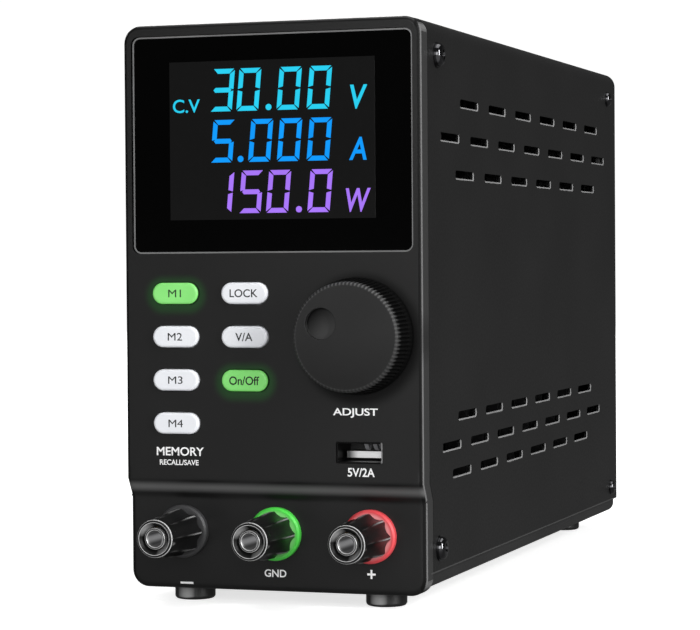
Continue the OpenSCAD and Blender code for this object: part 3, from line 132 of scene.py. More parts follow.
# Main board and its parts
# A glass-epoxy board under green solder resist, on brass pillars. On it stand the transformer,
# heatsinks, capacitors, choke and mains filter, soldered by hand behind the vent slots.
# Solder resist: a thin glossy green lacquer, paler where it crosses a copper track.
resist, add, surface, place, shade = finish("solder_resist_green", "#17502F", "#1E6439", 9, 0.4, 5, 0.3)
tracks = add("TexVoronoi", {"Vector": place, "Scale": 260.0}, distance="CHEBYCHEV")
copper = add("MapRange", (tracks, 0.34, 0.4))
board = add("MixRGB", (copper, shade, "#2F7E4B"))
plug(surface, {"Base Color": board})
dress(resist, "main_board", "control_board")
# Zinc-plated steel: cool grey metal with a fine crystalline bloom and a satin gloss.
zinc_plate = finish("zinc_plated_steel", "#8D9195", "#B4B8BC", 6, 0.5, 4, 0.38, Metallic=1.0)[0]
dress(zinc_plate, "post_nuts", "encoder_body", "encoder_shaft")
# Turned brass: yellow metal, bright where the tool passed and a little dull between.
brass = finish("turned_brass", "#B28A3C", "#CBA456", 5, 0.25, 3, 0.3, Metallic=1.0)[0]
dress(brass, "board_standoffs", "post_insert_negative", "post_insert_ground",
      "post_insert_positive", "post_lugs", "inlet_pins")
# Ferrite: fired and ground ceramic, dark grey, matt and finely speckled.
ferrite = finish("ground_ferrite", "#33343A", "#45464B", 1.2, 0.3, 6, 0.62)[0]
dress(ferrite, "transformer_core")
# Enamelled copper wire: orange-brown under a clear glossy enamel, in turns 0.6 mm apart.
winding, add, surface, place = finish("enamelled_copper_winding", "#9A5A22", "#C27A34", 7, 0.4, 4,
                                       0.28, Metallic=0.85)[:4]
turns = add("TexWave", {"Vector": place, "Scale": 1000 / 0.6 / 20, "Distortion": 0.4}, bands_direction="Z")
ridges = add("Bump", {"Height": turns.outputs["Fac"], "Distance": 0.00012})
plug(surface, {"Normal": ridges})
dress(winding, "transformer_coil", "output_choke")
# Anodised aluminium: the black dye sits in a matt oxide skin, so almost nothing shines.
extruded = finish("black_anodised_aluminium", "#0E0E0F", "#131314", 3, 0.35, 5, 0.55)[0]
dress(extruded, "heatsinks")
# Epoxy mould compound: near black, matt, faintly speckled with silica.
epoxy = finish("epoxy_moulding", "#19191B", "#222225", 2, 0.2, 5, 0.55)[0]
dress(epoxy, "power_transistors", "tact_switches")
# Heat-shrunk sleeve: thin glossy vinyl over an aluminium can.
sleeve = finish("capacitor_sleeve_vinyl", "#1D2740", "#26324F", 8, 0.6, 6, 0.25)[0]
dress(sleeve, "input_capacitors", "output_capacitors")
# Polyester film box: an ochre moulded case, satin and even.
film_box = finish("filter_case_plastic", "#8E5A24", "#A56E30", 5, 0.4, 6, 0.4)[0]
dress(film_box, "line_filter")


# Wiring
# Stranded leads in extruded PVC and a flat grey ribbon of bonded cores join the boards, the
# posts and the mains inlet inside the case.
red_lead = finish("red_pvc_insulation", "#8E1D22", "#A8282D", 4, 0.5, 4, 0.35)[0]
dress(red_lead, "output_leads")
brown_lead = finish("brown_pvc_insulation", "#4C3020", "#5E3D29", 4, 0.5, 4, 0.35)[0]
dress(brown_lead, "mains_leads")
# Ribbon cable: 1.27 mm cores side by side, so its skin is ribbed along its length.
ribbon, add, surface, place = finish("ribbed_ribbon_pvc", "#83868A", "#999CA0", 6, 0.5, 4, 0.4)[:4]
cores = add("TexWave", {"Vector": place, "Scale": 1000 / 1.27 / 20}, bands_direction="X")
ribs = add("Bump", {"Height": cores.outputs["Fac"], "Distance": 0.0004})
plug(surface, {"Normal": ribs})
dress(ribbon, "ribbon_cable")


# Screws
# Cross-recess pan heads, cold formed from steel wire. M3 screws hold the boards, the feet, the
# fan and the inlet; larger blackened ones hold the cover's sides.
def pick(kind, test):
    """In edit mode, selects what passes the test on its place and normal: corners, edges or faces."""
    bpy.ops.mesh.select_mode(type=kind)
    bpy.ops.mesh.select_all(action="DESELECT")
    shape = bmesh.from_edit_mesh(bpy.context.object.data)
    if kind == "FACE":
        chosen = [part for part in shape.faces if test(part.calc_center_median(), part.normal)]
    elif kind == "EDGE":
        chosen = [part for part in shape.edges if all(test(v.co, v.normal) for v in part.verts)]
    else:
        chosen = [part for part in shape.verts if test(part.co, part.normal)]
    for part in chosen:
        part.select_set(True)
    bmesh.update_edit_mesh(bpy.context.object.data)


def apply_all(piece):
    """Applies a piece's modifiers, then puts its place, turn and size into its mesh."""
    bpy.ops.object.select_all(action="DESELECT")
    piece.select_set(True)
    bpy.context.view_layer.objects.active = piece
    for modifier in list(piece.modifiers):
        bpy.ops.object.modifier_apply(modifier=modifier.name)
    bpy.ops.object.transform_apply(location=True, rotation=True, scale=True)
    return piece


def flat_plate(place, turn, width, depth, corner=0.0, steps=1):
    """A flat rectangle at a place and turn, its corners rounded in steps."""
    bpy.ops.mesh.primitive_plane_add(size=1, location=place, rotation=turn)
    bpy.context.object.scale = (width, depth, 1)
    made = apply_all(bpy.context.object)
    if corner:
        bpy.ops.object.mode_set(mode="EDIT")
        bpy.ops.mesh.select_all(action="SELECT")
        bpy.ops.mesh.bevel(affect="VERTICES", offset=corner, segments=steps)
        bpy.ops.object.mode_set(mode="OBJECT")
    return made


def copy_to(pattern, where, name):
    """A copy of a pattern piece with its own mesh, moved and turned by a matrix."""
    made = pattern.copy()
    made.data = pattern.data.copy()
    made.data.transform(where)
    made.name = name
    bpy.context.collection.objects.link(made)
    return made


def join(name, parts, material=None):
    """Makes one piece of several, and gives it a material."""
    bpy.ops.object.select_all(action="DESELECT")
    for part in parts:
        part.select_set(True)
    bpy.context.view_layer.objects.active = parts[0]
    if len(parts) > 1:
        bpy.ops.object.join()
    parts[0].name = parts[0].data.name = name
    if material:
        parts[0].data.materials.clear()
        parts[0].data.materials.append(material)
    return parts[0]


def pan_head(head_r, head_h, shank_r, shank_l, rim=0.0, arm_w=0.25):
    """A cross-recess screw that stands at the origin: the head's seat at height 0, the shank below.
    A rim is the height of the flat ring round a domed head."""
    body_h = rim or head_h
    bpy.ops.mesh.primitive_cylinder_add(vertices=48, radius=head_r, depth=body_h,
                                        location=(0, 0, body_h / 2))
    screw = apply_all(bpy.context.object)
    bpy.ops.object.mode_set(mode="EDIT")
    if rim:
        pick("FACE", lambda at, out: out.z > 0.9)
        bpy.ops.mesh.inset(thickness=head_r * 0.09)
        bpy.ops.mesh.extrude_region_move(TRANSFORM_OT_translate={"value": (0, 0, head_h - rim)})
    pick("FACE", lambda at, out: out.z < -0.9)
    bpy.ops.mesh.inset(thickness=head_r - shank_r)
    bpy.ops.mesh.extrude_region_move(TRANSFORM_OT_translate={"value": (0, 0, -shank_l)})
    bpy.ops.transform.resize(value=(0.8, 0.8, 1), center_override=(0, 0, -shank_l))
    pick("EDGE", lambda at, out: at.z > head_h * 0.99)
    bpy.ops.mesh.bevel(offset=(head_h - rim) * (0.96 if rim else 0.62), segments=8, profile=0.55)
    bpy.ops.object.mode_set(mode="OBJECT")
    arms = []
    for turn in (0, math.pi / 2):
        bpy.ops.mesh.primitive_cube_add(size=1, location=(0, 0, head_h), rotation=(0, 0, turn),
                                        scale=(head_r * 1.08, head_r * arm_w, head_h * 1.5))
        arm = apply_all(bpy.context.object)
        bpy.ops.object.mode_set(mode="EDIT")
        pick("VERT", lambda at, out: at.z < head_h)
        bpy.ops.transform.resize(value=(0.5, 0.5, 1), center_override=(0, 0, 0))
        bpy.ops.object.mode_set(mode="OBJECT")
        arms.append(arm)
    for arm in arms:
        recess = screw.modifiers.new("recess", "BOOLEAN")
        recess.object = arm
        recess.solver = "EXACT"
    apply_all(screw)
    for arm in arms:
        bpy.data.objects.remove(arm)
    screw.select_set(True)
    bpy.ops.object.shade_smooth_by_angle(angle=math.radians(32))
    return screw


def put_screws(pattern, places):
    """Copies of a screw, each with the middle of its seat at a place in mm, head turned outwards."""
    return [copy_to(pattern, Matrix.Translation(Vector(at) / 1000) @ Vector(out).to_track_quat(
        "Z", "Y").to_matrix().to_4x4() @ Matrix.Rotation(turn, 4, "Z"), "screw") for at, out, turn in places]


# Zinc-plated screw steel: brighter and smoother than the sheet, with a faint blue cast.
screw_zinc = finish("bright_zinc_screw_steel", "#A3A7AC", "#C4C8CC", 2, 0.3, 2, 0.26, Metallic=1.0)[0]
m3_head = 2.0
m3_pattern = pan_head(2.75e-3, m3_head / 1000, 1.5e-3, 6.5e-3)
m3_places = [((x, -86.45 - m3_head, z), (0, 1, 0), 0.4 + x) for x in (-37.45, 37.45) for z in (26.9, 141.5)]
m3_places += [((x, -97.85 - m3_head, z), (0, 1, 0), 0.7 + x)
              for x, z in ((29, 97), (-29, 97), (6, 40.5), (-17, 40.5))]
m3_places += [((x, y, 17.5 - m3_head), (0, 0, 1), x + y) for x in (-31.05, 31.05) for y in (-75.45, 87.75)]
m3_places += [((x, y, 0.6 + m3_head), (0, 0, -1), x + y) for x in (-28.4, 28.4) for y in (-97.85, 104.75)]
m3_places += [((x, 128.4 - m3_head, z), (0, 1, 0), x + z) for x in (-25, 25) for z in (87.5, 137.5)]
m3_places += [((x, 129.75 - m3_head, 42), (0, 1, 0), x) for x in (-34.5, 5.5)]
small_screws = join("small_screws", put_screws(m3_pattern, m3_places), screw_zinc)
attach(small_screws, "case")
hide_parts("m3_screws")
bpy.data.objects.remove(m3_pattern)
# Black-oxide steel: a thin blue-black skin over bright wire, glossy on the rounded head.
black_oxide = finish("black_oxide_screw_steel", "#58585A", "#626264", 2, 0.3, 0.3, 0.13, Metallic=1.0)[0]
side_copies = []
for head_r, head_h, shank_r, places in ((3.5, 2.1, 1.75, ((-96.45, 16.0), (-96.45, 150.9))),
                                        (2.6, 1.56, 1.5, ((111.75, 150.9), (115.25, 14.2)))):
    side_pattern = pan_head(head_r / 1000, head_h / 1000, shank_r / 1000, 5e-3, rim=head_h * 0.22e-3,
                            arm_w=0.36)
    side_copies += put_screws(side_pattern, [
        ((x, y, z), (x, 0, 0), 0.3) for x in (-43.25, 43.25) for y, z in places])
    bpy.data.objects.remove(side_pattern)
side_screws = join("side_screws", side_copies, black_oxide)
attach(side_screws, "case")
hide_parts("cover_screws")


# Feet
# Four black rubber feet, moulded as turned buttons with a recess for the screw.
# Moulded rubber: carbon-black, dull, with a fine dusty bloom.
rubber, add, surface, _, shade = finish("moulded_black_rubber", "#1A1A1A", "#222222", 3, 0.5, 6, 0.42)
# A painted sheen: a paler stripe is painted down the front of each turned side as a painted reflection.
outward = add("NewGeometry").outputs["Normal"]
painted_sheen_stripe = add("VectorMath", (outward, (-0.14, -0.99, 0.0)), operation="DOT_PRODUCT")
painted_sheen_stripe = add("MapRange", (painted_sheen_stripe, 0.88, 0.995))
painted_sheen_tone = add("MixRGB", (painted_sheen_stripe, shade, "#A0A0A0"))
plug(surface, {"Base Color": painted_sheen_tone})
dress(rubber, "feet")


# Front panel
# One injection moulding in black ABS, with a raised upper face, a slope and a set-back foot for
# the posts. Its mould was spark eroded, which leaves the plastic a fine even grain.
panel_front = -0.11145
# Spark-eroded ABS: charcoal, satin, with a grain of about 0.3 mm. A painted green glow on the
# panel for 2 or 3 mm round the two lit keys stands for their light leaking through the gap.
panel_abs, add, surface, place, shade = finish("spark_eroded_abs", "#101010", "#141414", 40, 0.35, 8,
                                                0.38, Specular_IOR_Level=0.3)
dress(panel_abs, "front_panel")
axes = add("SeparateXYZ", (place,))


def around(add, axes, x, z):
    """The distance from a level axis that runs front to back, and its parts sideways and up."""
    sideways = add("Math", (axes.outputs["X"], -x), operation="ADD")
    height = add("Math", (axes.outputs["Z"], -z), operation="ADD")
    flat = add("CombineXYZ", (sideways, 0, height))
    return add("VectorMath", (flat,), operation="LENGTH"), sideways, height


def soften(add, surface, radius, share=1.0):
    """Rounds the sharp edges to the eye by that radius in mm, where share is 1."""
    relief = surface.inputs["Normal"].links[0].from_node
    sharp = add("NewGeometry")
    round_edge = add("Bevel", {"Radius": radius / 1000}, samples=8)
    blend = add("MixRGB", (share, sharp.outputs["Normal"], round_edge))
    straight = add("VectorMath", (blend,), operation="NORMALIZE")
    plug(relief, {"Normal": straight})


# The folds above and below the slope are moulded round, so the slope is one soft band of light, and the band
# is also painted lighter as a painted highlight.
fold_top, fold_radius, slope_middle, slope_half = 0.0385, 1.6, 0.0324, 0.002
fold_zone = add("MapRange", (axes.outputs["Z"], fold_top - 0.001, fold_top, 1.0, 0.0))
soften(add, surface, fold_radius, fold_zone)
from_slope = add("Math", (axes.outputs["Z"], -slope_middle), operation="ADD")
from_slope = add("Math", (from_slope,), operation="ABSOLUTE")
slope = add("MapRange", (from_slope, 0, slope_half, 1.0, 0.0), interpolation_type="SMOOTHSTEP")
outward = add("SeparateXYZ", (add("NewGeometry").outputs["True Normal"],))
facing = add("MapRange", (outward.outputs["Y"], -0.6, -0.3, 1.0, 0.0))
slope = add("Math", (slope, facing), operation="MULTIPLY")
painted_slope_highlight = add("MixRGB", (slope, shade, "#626262"))
# A painted highlight runs along the outer part of the upright edges' rounding, and the sides are painted a
# little paler as painted light.
edge_x = 0.0413
outer = add("Math", (axes.outputs["X"],), operation="ABSOLUTE")
outer = add("MapRange", (outer, edge_x, edge_x + 0.0003))
sideways = add("Math", (outward.outputs["X"],), operation="ABSOLUTE")
on_edge = add("MapRange", (sideways, 0.72, 0.86))
on_side = add("MapRange", (sideways, 0.97, 0.995))
edge_highlight_tone = add("MixRGB", (on_side, "#707070", "#383838"))
painted_edge_highlight = add("Math", (outer, on_edge), operation="MULTIPLY")
skin = add("MixRGB", (painted_edge_highlight, painted_slope_highlight, edge_highlight_tone))
# The panel lies in the knob's half shade, deepest just below it.
shade_x, shade_z, shade_in, shade_out = 0.0256, 0.0735, 0.0158, 0.0195
from_knob = around(add, axes, shade_x, shade_z)[0]
half_shade = add("MapRange", (from_knob, shade_in, shade_out, 0.75, 0.0), interpolation_type="SMOOTHSTEP")
skin = add("MixRGB", (half_shade, skin, "#040404"))
at_fold = add("MapRange", (sideways, 0.02, 0.1))
at_fold = add("Math", (outer, at_fold), operation="MULTIPLY")
matt = add("Math", (slope, at_fold), operation="MAXIMUM")
matt = add("Math", (matt, half_shade), operation="MAXIMUM")
dull = add("MapRange", (matt, 0, 1, 0.3, 0.08))
plug(surface, {"Base Color": skin, "Specular IOR Level": dull})
# The painted glow follows each key's oval: it falls off from a line as long as the key's straight part.
key_half, painted_glow_in, painted_glow_out, painted_glow_share = 0.0038, 0.0028, 0.0066, 0.034
halo = None
for key_x, key_z in ((-0.0279, 0.0857), (-0.0075, 0.0617)):
    sideways = add("Math", (axes.outputs["X"], -key_x), operation="ADD")
    sideways = add("Math", (sideways,), operation="ABSOLUTE")
    sideways = add("Math", (sideways, key_half), operation="SUBTRACT")
    sideways = add("Math", (sideways, 0.0), operation="MAXIMUM")
    height = add("Math", (axes.outputs["Z"], -key_z), operation="ADD")
    from_key = add("CombineXYZ", (sideways, 0, height))
    distance = add("VectorMath", (from_key,), operation="LENGTH")
    fall = add("MapRange", (distance, painted_glow_in, painted_glow_out, 1.0, 0.0), interpolation_type="SMOOTHERSTEP")
    halo = fall if halo is None else add("Math", (halo, fall), operation="MAXIMUM")
painted_glow = add("Math", (halo, painted_glow_share), operation="MULTIPLY")
plug(surface, {"Emission Color": "#3CFF50", "Emission Strength": painted_glow})


# Display
# A pane of black-tinted acrylic over a colour segment LCD. The pane is polished, with a fine
# bevelled rim, and the lit segments show through the clear field in its middle.
# Cast acrylic: deep black and glassy; a low specular level stands for its anti-glare coat.
pane_acrylic = finish("black_cast_acrylic", "#030303", "#040404", 60, 3, 1, 0.06,
                      Specular_IOR_Level=0.12)[0]
dress(pane_acrylic, "display_window", "lcd_module")
pane_front = -0.11135


def hollow(wall):
    """Opens the active flat plate for editing and leaves a ring of it, as wide as the wall."""
    bpy.ops.object.mode_set(mode="EDIT")
    bpy.ops.mesh.select_mode(type="FACE")
    bpy.ops.mesh.select_all(action="SELECT")
    bpy.ops.mesh.inset(thickness=wall)
    bpy.ops.mesh.delete(type="FACE")


rim_w, rim_rise = 0.00042, 0.00006
pane_rim = flat_plate((0.0003, pane_front - 0.00001, 0.1272), (math.pi / 2, 0, 0), 0.0814, 0.06, 0.0022, 8)
pane_rim.name = "pane_rim"
hollow(rim_w)
bpy.ops.mesh.select_all(action="SELECT")
bpy.ops.mesh.extrude_region_move(TRANSFORM_OT_translate={"value": (0, -rim_rise, 0)})
bpy.ops.mesh.select_all(action="SELECT")
bpy.ops.mesh.normals_make_consistent(inside=False)
bpy.ops.object.mode_set(mode="OBJECT")
# Milled acrylic edge: the cut face is frosted grey and catches the room's light; its pale tone is also a
# painted highlight along the pane's rim.
rim_acrylic_and_highlight = finish("frosted_acrylic_edge_and_highlight", "#636363", "#727272", 10, 0.3, 3, 0.5)[0]
pane_rim.data.materials.append(rim_acrylic_and_highlight)
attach(pane_rim, "case")


def block(place, size, chamfer, segments=1, above=0.0):
    """A small block, with its edges above a height chamfered."""
    bpy.ops.mesh.primitive_cube_add(size=1, location=place, scale=size)
    made = apply_all(bpy.context.object)
    bpy.ops.object.mode_set(mode="EDIT")
    pick("EDGE", lambda at, out: at.z > above)
    bpy.ops.mesh.bevel(offset=chamfer, segments=segments)
    bpy.ops.object.mode_set(mode="OBJECT")
    return made


field_front = pane_front - 0.00003
lcd_field = block((0.00045, (pane_front + field_front) / 2, 0.1282),
                  (0.0597, pane_front - field_front, 0.04355), 0.000006)
lcd_field.name = "lcd_field"
# LCD glass: its backlight leaks a little, so the field is a soft dark grey on the black pane.
field_glass = finish("leaky_lcd_glass", "#080808", "#0A0A0A", 25, 2, 1, 0.12, Specular_IOR_Level=0.12,
                     Emission_Color="#FFFFFF", Emission_Strength=0.0052)[0]
lcd_field.data.materials.append(field_glass)
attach(lcd_field, "case")

digit_w, digit_h, stroke, slant, gap = 6.4, 11.65, 1.32, 0.092, 0.26
segment_depth = 0.03


def bar(left, right, low, high, narrow=None, to=1.0, lift=0.0):
    """One lit bar of a digit whose lower left corner is the origin, in mm. The side that faces the
    digit's middle is drawn in to that share of its length, and lifted by that many mm."""
    bpy.ops.mesh.primitive_cube_add(
        size=1, location=((left + right) / 2000, -segment_depth / 2000, (low + high) / 2000),
        scale=((right - left) / 1000, segment_depth / 1000, (high - low) / 1000))
    made = apply_all(bpy.context.object)
    middle = ((left + right) / 2000, 0, (low + high) / 2000)
    bpy.ops.object.mode_set(mode="EDIT")
    if narrow in ("up", "down"):
        pick("VERT", lambda at, out: (at.z > middle[2]) == (narrow == "up"))
        bpy.ops.transform.resize(value=(to, 1, 1), center_override=middle)
    elif narrow in ("left", "right"):
        pick("VERT", lambda at, out: (at.x > middle[0]) == (narrow == "right"))
        bpy.ops.transform.resize(value=(1, 1, to), center_override=middle)
        bpy.ops.transform.translate(value=(0, 0, lift / 1000))
    bpy.ops.object.mode_set(mode="OBJECT")
    return made


def middle_bar():
    """The bar across a digit's middle, pointed at both ends."""
    half = digit_w / 2 - stroke * 0.42
    bpy.ops.mesh.primitive_cylinder_add(vertices=6, radius=stroke / 2000 / math.cos(math.pi / 6),
                                        depth=segment_depth / 1000, rotation=(math.pi / 2, math.pi / 6, 0))
    made = apply_all(bpy.context.object)
    bpy.ops.object.mode_set(mode="EDIT")
    for side in (-1, 1):
        pick("VERT", lambda at, out: at.x * side > 0)
        bpy.ops.transform.translate(value=(side * (half - stroke * 0.72) / 1000, 0, 0))
        pick("VERT", lambda at, out: at.x * side > (half - stroke * 0.3) / 1000)
        bpy.ops.transform.translate(value=(side * stroke * 0.14 / 1000, 0, 0))
    bpy.ops.mesh.select_all(action="SELECT")
    bpy.ops.transform.translate(value=(digit_w / 2000, -segment_depth / 2000, digit_h / 2000))
    bpy.ops.object.mode_set(mode="OBJECT")
    return made


long_edge = digit_w - 2 * gap
side_low, side_high = digit_h / 2 + gap * 0.7, digit_h - gap * 1.5
across_share = (digit_w - 2 * stroke - gap * 1.2) / long_edge
inner_high, inner_low = digit_h - stroke - gap * 0.45, digit_h / 2 + gap * 0.7 + 0.38
side_share = (inner_high - inner_low) / (side_high - side_low)
lift = (inner_high + inner_low) / 2 - (side_high + side_low) / 2
bars = {
    "top": bar(gap, digit_w - gap, digit_h - stroke, digit_h, "down", across_share),
    "bottom": bar(gap, digit_w - gap, 0, stroke, "up", across_share),
    "upper_left": bar(0, stroke, side_low, side_high, "right", side_share, lift),
    "upper_right": bar(digit_w - stroke, digit_w, side_low, side_high, "left", side_share, lift),
    "lower_left": bar(0, stroke, digit_h - side_high, digit_h - side_low, "right", side_share, -lift),
    "lower_right": bar(digit_w - stroke, digit_w, digit_h - side_high, digit_h - side_low, "left",
                       side_share, -lift),
    "middle": middle_bar(),
}
point_r = 0.00086
bpy.ops.mesh.primitive_cylinder_add(vertices=24, radius=point_r, depth=segment_depth / 1000,
                                    location=(0, -segment_depth / 2000, point_r),
                                    rotation=(math.pi / 2, 0, 0))
point = apply_all(bpy.context.object)
lit_bars = {
    "0": ["top", "bottom", "upper_left", "upper_right", "lower_left", "lower_right"],
    "1": ["upper_right", "lower_right"],
    "3": ["top", "middle", "bottom", "upper_right", "lower_right"],
    "5": ["top", "middle", "bottom", "upper_left", "lower_right"],
}


def lettering(name, words, left, right, low, high, face, bold=0.0, lean=0.0, raised=0.03):
    """Letters in mm on a surface that faces the front at y = face in metres, fitted to the space
    that the real ones take and raised by that many mm."""
    bpy.ops.object.select_all(action="DESELECT")
    bpy.ops.object.text_add(rotation=(math.pi / 2, 0, 0))
    bpy.context.object.data.body = words
    bpy.context.object.data.extrude = 0.1
    bpy.context.object.data.offset = bold
    bpy.context.object.data.shear = lean
    bpy.context.object.data.resolution_u = 6
    bpy.ops.object.convert(target="MESH")
    made = apply_all(bpy.context.object)
    lowest, highest = Vector(made.bound_box[0]), Vector(made.bound_box[6])
    size = Vector(((right - left) / 1000, 2 * raised / 1000, (high - low) / 1000))
    factor = [size[i] / (highest[i] - lowest[i]) for i in range(3)]
    start = Matrix.Translation((left / 1000, face - raised / 1000, low / 1000))
    made.data.transform(start @ Matrix.Diagonal((*factor, 1.0)) @ Matrix.Translation(-lowest))
    made.name = made.data.name = name
    return made


# Segment light: each colour is a printed film over the white backlight, even and self-lit, with
# the faint cloud of the light guide behind it.
rows = (
    ("volts", "#2AD2F4", 136.15, (("3", -17.4), ("0", -9.65), ("0", 2.1), ("0", 10.8)), -0.2,
     (("V", 23.3, 28.2, 135.9, 142.4, 0.15), ("C.V", -28.4, -20.4, 136.0, 139.7, 0.0))),
    ("amps", "#109CFF", 122.15, (("5", -17.4), ("0", -6.3), ("0", 2.1), ("0", 10.7)), -8.5,
     (("A", 22.9, 27.9, 122.1, 128.3, 0.17),)),
    ("watts", "#AA78FB", 108.15, (("1", -17.8), ("5", -9.2), ("0", -1.2), ("0", 10.8)), 8.4,
     (("W", 21.9, 29.0, 108.1, 114.5, 0.17),)),
)
for row_name, colour, base, digits, point_x, signs in rows:
    lit = []
    for digit, left in digits:
        lean = Matrix(((1, 0, slant, left / 1000), (0, 1, 0, field_front), (0, 0, 1, base / 1000),
                       (0, 0, 0, 1)))
        lit += [copy_to(bars[segment], lean, segment) for segment in lit_bars[digit]]
    lit.append(copy_to(point, Matrix.Translation((point_x / 1000, field_front, base / 1000)), "point"))
    lit += [lettering("sign", words, left, right, low, high, field_front, 0.018 if lean else 0.01, lean)
            for words, left, right, low, high, lean in signs]
    light, add, surface, place = finish("segment_light_" + row_name, "#050505", "#060606", 20, 1, 1,
                                         0.4, Specular_IOR_Level=0.0)[:4]
    guide = add("TexNoise", {"Vector": place, "Scale": 1000 / 8})
    level_light = add("MapRange", (guide, 0.3, 0.7, 0.93, 1.05))
    plug(surface, {"Emission Color": colour, "Emission Strength": level_light})
    reading = join("reading_" + row_name, lit, light)
    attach(reading, "case")
for part in (*bars.values(), point):
    bpy.data.objects.remove(part)


# Keys
# Seven push keys in white silicone-feel plastic, each on its own switch. The first memory key and
# the output key are clear-lit from behind by green lamps. Their letters are pad printed.
key_front = panel_front - 0.0011
# Satin polycarbonate: bright cool white, smooth, with a soft sheen on the rounded rim.
key_plastic = finish("satin_white_key_plastic", "#E9EBF0", "#EEF0F4", 8, 0.5, 4, 0.38)[0]
dress(key_plastic, "key_m2", "key_m3", "key_m4", "key_lock", "key_va", "encoder_plunger")
# Lit key: the same plastic left translucent, with the green lamp's spread from its middle.
lit_plastic, add, surface, place, shade = finish("green_lit_key_plastic", "#76C56B", "#80CD74", 8, 0.5, 4,
                                                  0.38, Emission_Color="#69CB55")
# The lamp lights the cap's face; the skirt in the panel's opening is painted dark green as painted shade.
axes = add("SeparateXYZ", (place,))
lamp_share = 0.32
face = add("MapRange", (axes.outputs["Y"], key_front + 0.0004, key_front + 0.0008, 1.0, 0.0))
glow = add("Math", (face, lamp_share), operation="MULTIPLY")
skirt_painted_shade = add("MixRGB", (face, "#1C3A1C", shade))
plug(surface, {"Base Color": skirt_painted_shade, "Emission Strength": glow})
dress(lit_plastic, "key_m1", "key_output")
# Pad-printing ink: a thin dull film.
key_ink = finish("dark_pad_ink", "#08080A", "#0C0C0E", 4, 0.3, 2, 0.55)[0]
lit_ink = finish("green_black_pad_ink", "#041A06", "#062008", 4, 0.3, 2, 0.55)[0]
for body, words, middle_x, middle_z, width, height, bold in (
        ("key_m1", "M1", -27.9, 86.2, 3.8, 2.1, 0.0), ("key_m2", "M2", -27.9, 74.21, 4.3, 2.1, 0.0),
        ("key_m3", "M3", -27.9, 62.21, 4.3, 2.1, 0.0), ("key_m4", "M4", -27.9, 50.22, 4.3, 2.1, 0.0),
        ("key_lock", "LOCK", -7.5, 86.2, 8.2, 2.2, 0.009), ("key_va", "V/A", -7.5, 74.21, 5.0, 2.3, 0.009),
        ("key_output", "On/Off", -7.5, 62.21, 8.8, 2.4, 0.016)):
    letters = lettering(body + "_letters", words, middle_x - width / 2, middle_x + width / 2,
                        middle_z - height / 2, middle_z + height / 2, key_front, bold, raised=0.02)
    letters.data.materials.append(lit_ink if body in ("key_m1", "key_output") else key_ink)
    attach(letters, body)


# Panel lettering
# White words printed on the panel beside the keys, the knob, the USB socket and the posts. They
# name functions only.
# Screen ink: opaque white, dull, slightly uneven at its edges.
white_ink = finish("white_screen_ink", "#EEEEEE", "#FAFAFA", 3, 0.25, 3, 0.6)[0]
foot_face = panel_front + 0.003
words = [lettering("word", *row, bold=0.016) for row in (
    ("ADJUST", 17.8, 30.6, 52.4, 55.0, panel_front), ("5V/2A", 21.9, 29.6, 36.4, 38.8, panel_front),
    ("MEMORY", -34.1, -20.0, 41.2, 43.6, panel_front),
    ("RECALL/SAVE", -33.2, -21.6, 38.6, 40.1, panel_front), ("GND", -3.5, 2.9, 8.0, 10.1, foot_face),
    ("+", 26.3, 28.7, 8.4, 10.9, foot_face))]
minus = block((-0.0266, foot_face, 0.00555), (0.0039, 0.00006, 0.00055), 0.00001)
panel_words = join("panel_words", [*words, minus], white_ink)
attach(panel_words, "case")


# Adjusting knob
# A ribbed knob in black ABS on the encoder's shaft, with a finger dimple in its flat face.
# Satin ABS: charcoal, finer and a little glossier than the panel.
knob_abs, add, surface, place, shade = finish("satin_black_abs", "#161616", "#1A1A1A", 12, 0.3, 4, 0.36,
                                               Specular_IOR_Level=0.35)
dress(knob_abs, "adjust_knob")
soften(add, surface, 0.12)
# The ribs run out over the rim of the face. Their crests are painted pale at the rim as painted
# highlights, palest at the top, and the grooves and the back of the side are painted black as painted shade.
rib_count, knob_x, knob_z, rim_r, rim_y = 84, 0.025, 0.0745, 0.0138, -0.1212
axes = add("SeparateXYZ", (place,))
distance, sideways, height = around(add, axes, knob_x, knob_z)
turn = add("Math", (height, sideways), operation="ARCTAN2")
rib = add("Math", (turn, rib_count), operation="MULTIPLY")
rib = add("Math", (rib,), operation="SINE")
crest = add("MapRange", (rib, -0.3, 0.6))
at_rim = add("MapRange", (distance, rim_r, rim_r + 0.0004))
back_painted_shade = add("MapRange", (axes.outputs["Y"], rim_y, rim_y + 0.0015))
top_painted_light = add("MapRange", (height, 0.004, 0.014))
rim_painted_highlight = add("MixRGB", (top_painted_light, "#3A3A3A", "#565656"))
crest_painted_highlight = add("MixRGB", (back_painted_shade, rim_painted_highlight, "#0D0D0D"))
groove_painted_shade = add("MixRGB", (back_painted_shade, "#1E1E1E", "#040404"))
groove_tone = add("MixRGB", (crest, groove_painted_shade, crest_painted_highlight))
# The face is painted darker towards its bottom as painted shade.
face_painted_shade = add("MapRange", (height, -0.012, 0.001))
face_tone = add("MixRGB", (face_painted_shade, "#050505", shade))
tone = add("MixRGB", (at_rim, face_tone, groove_tone))
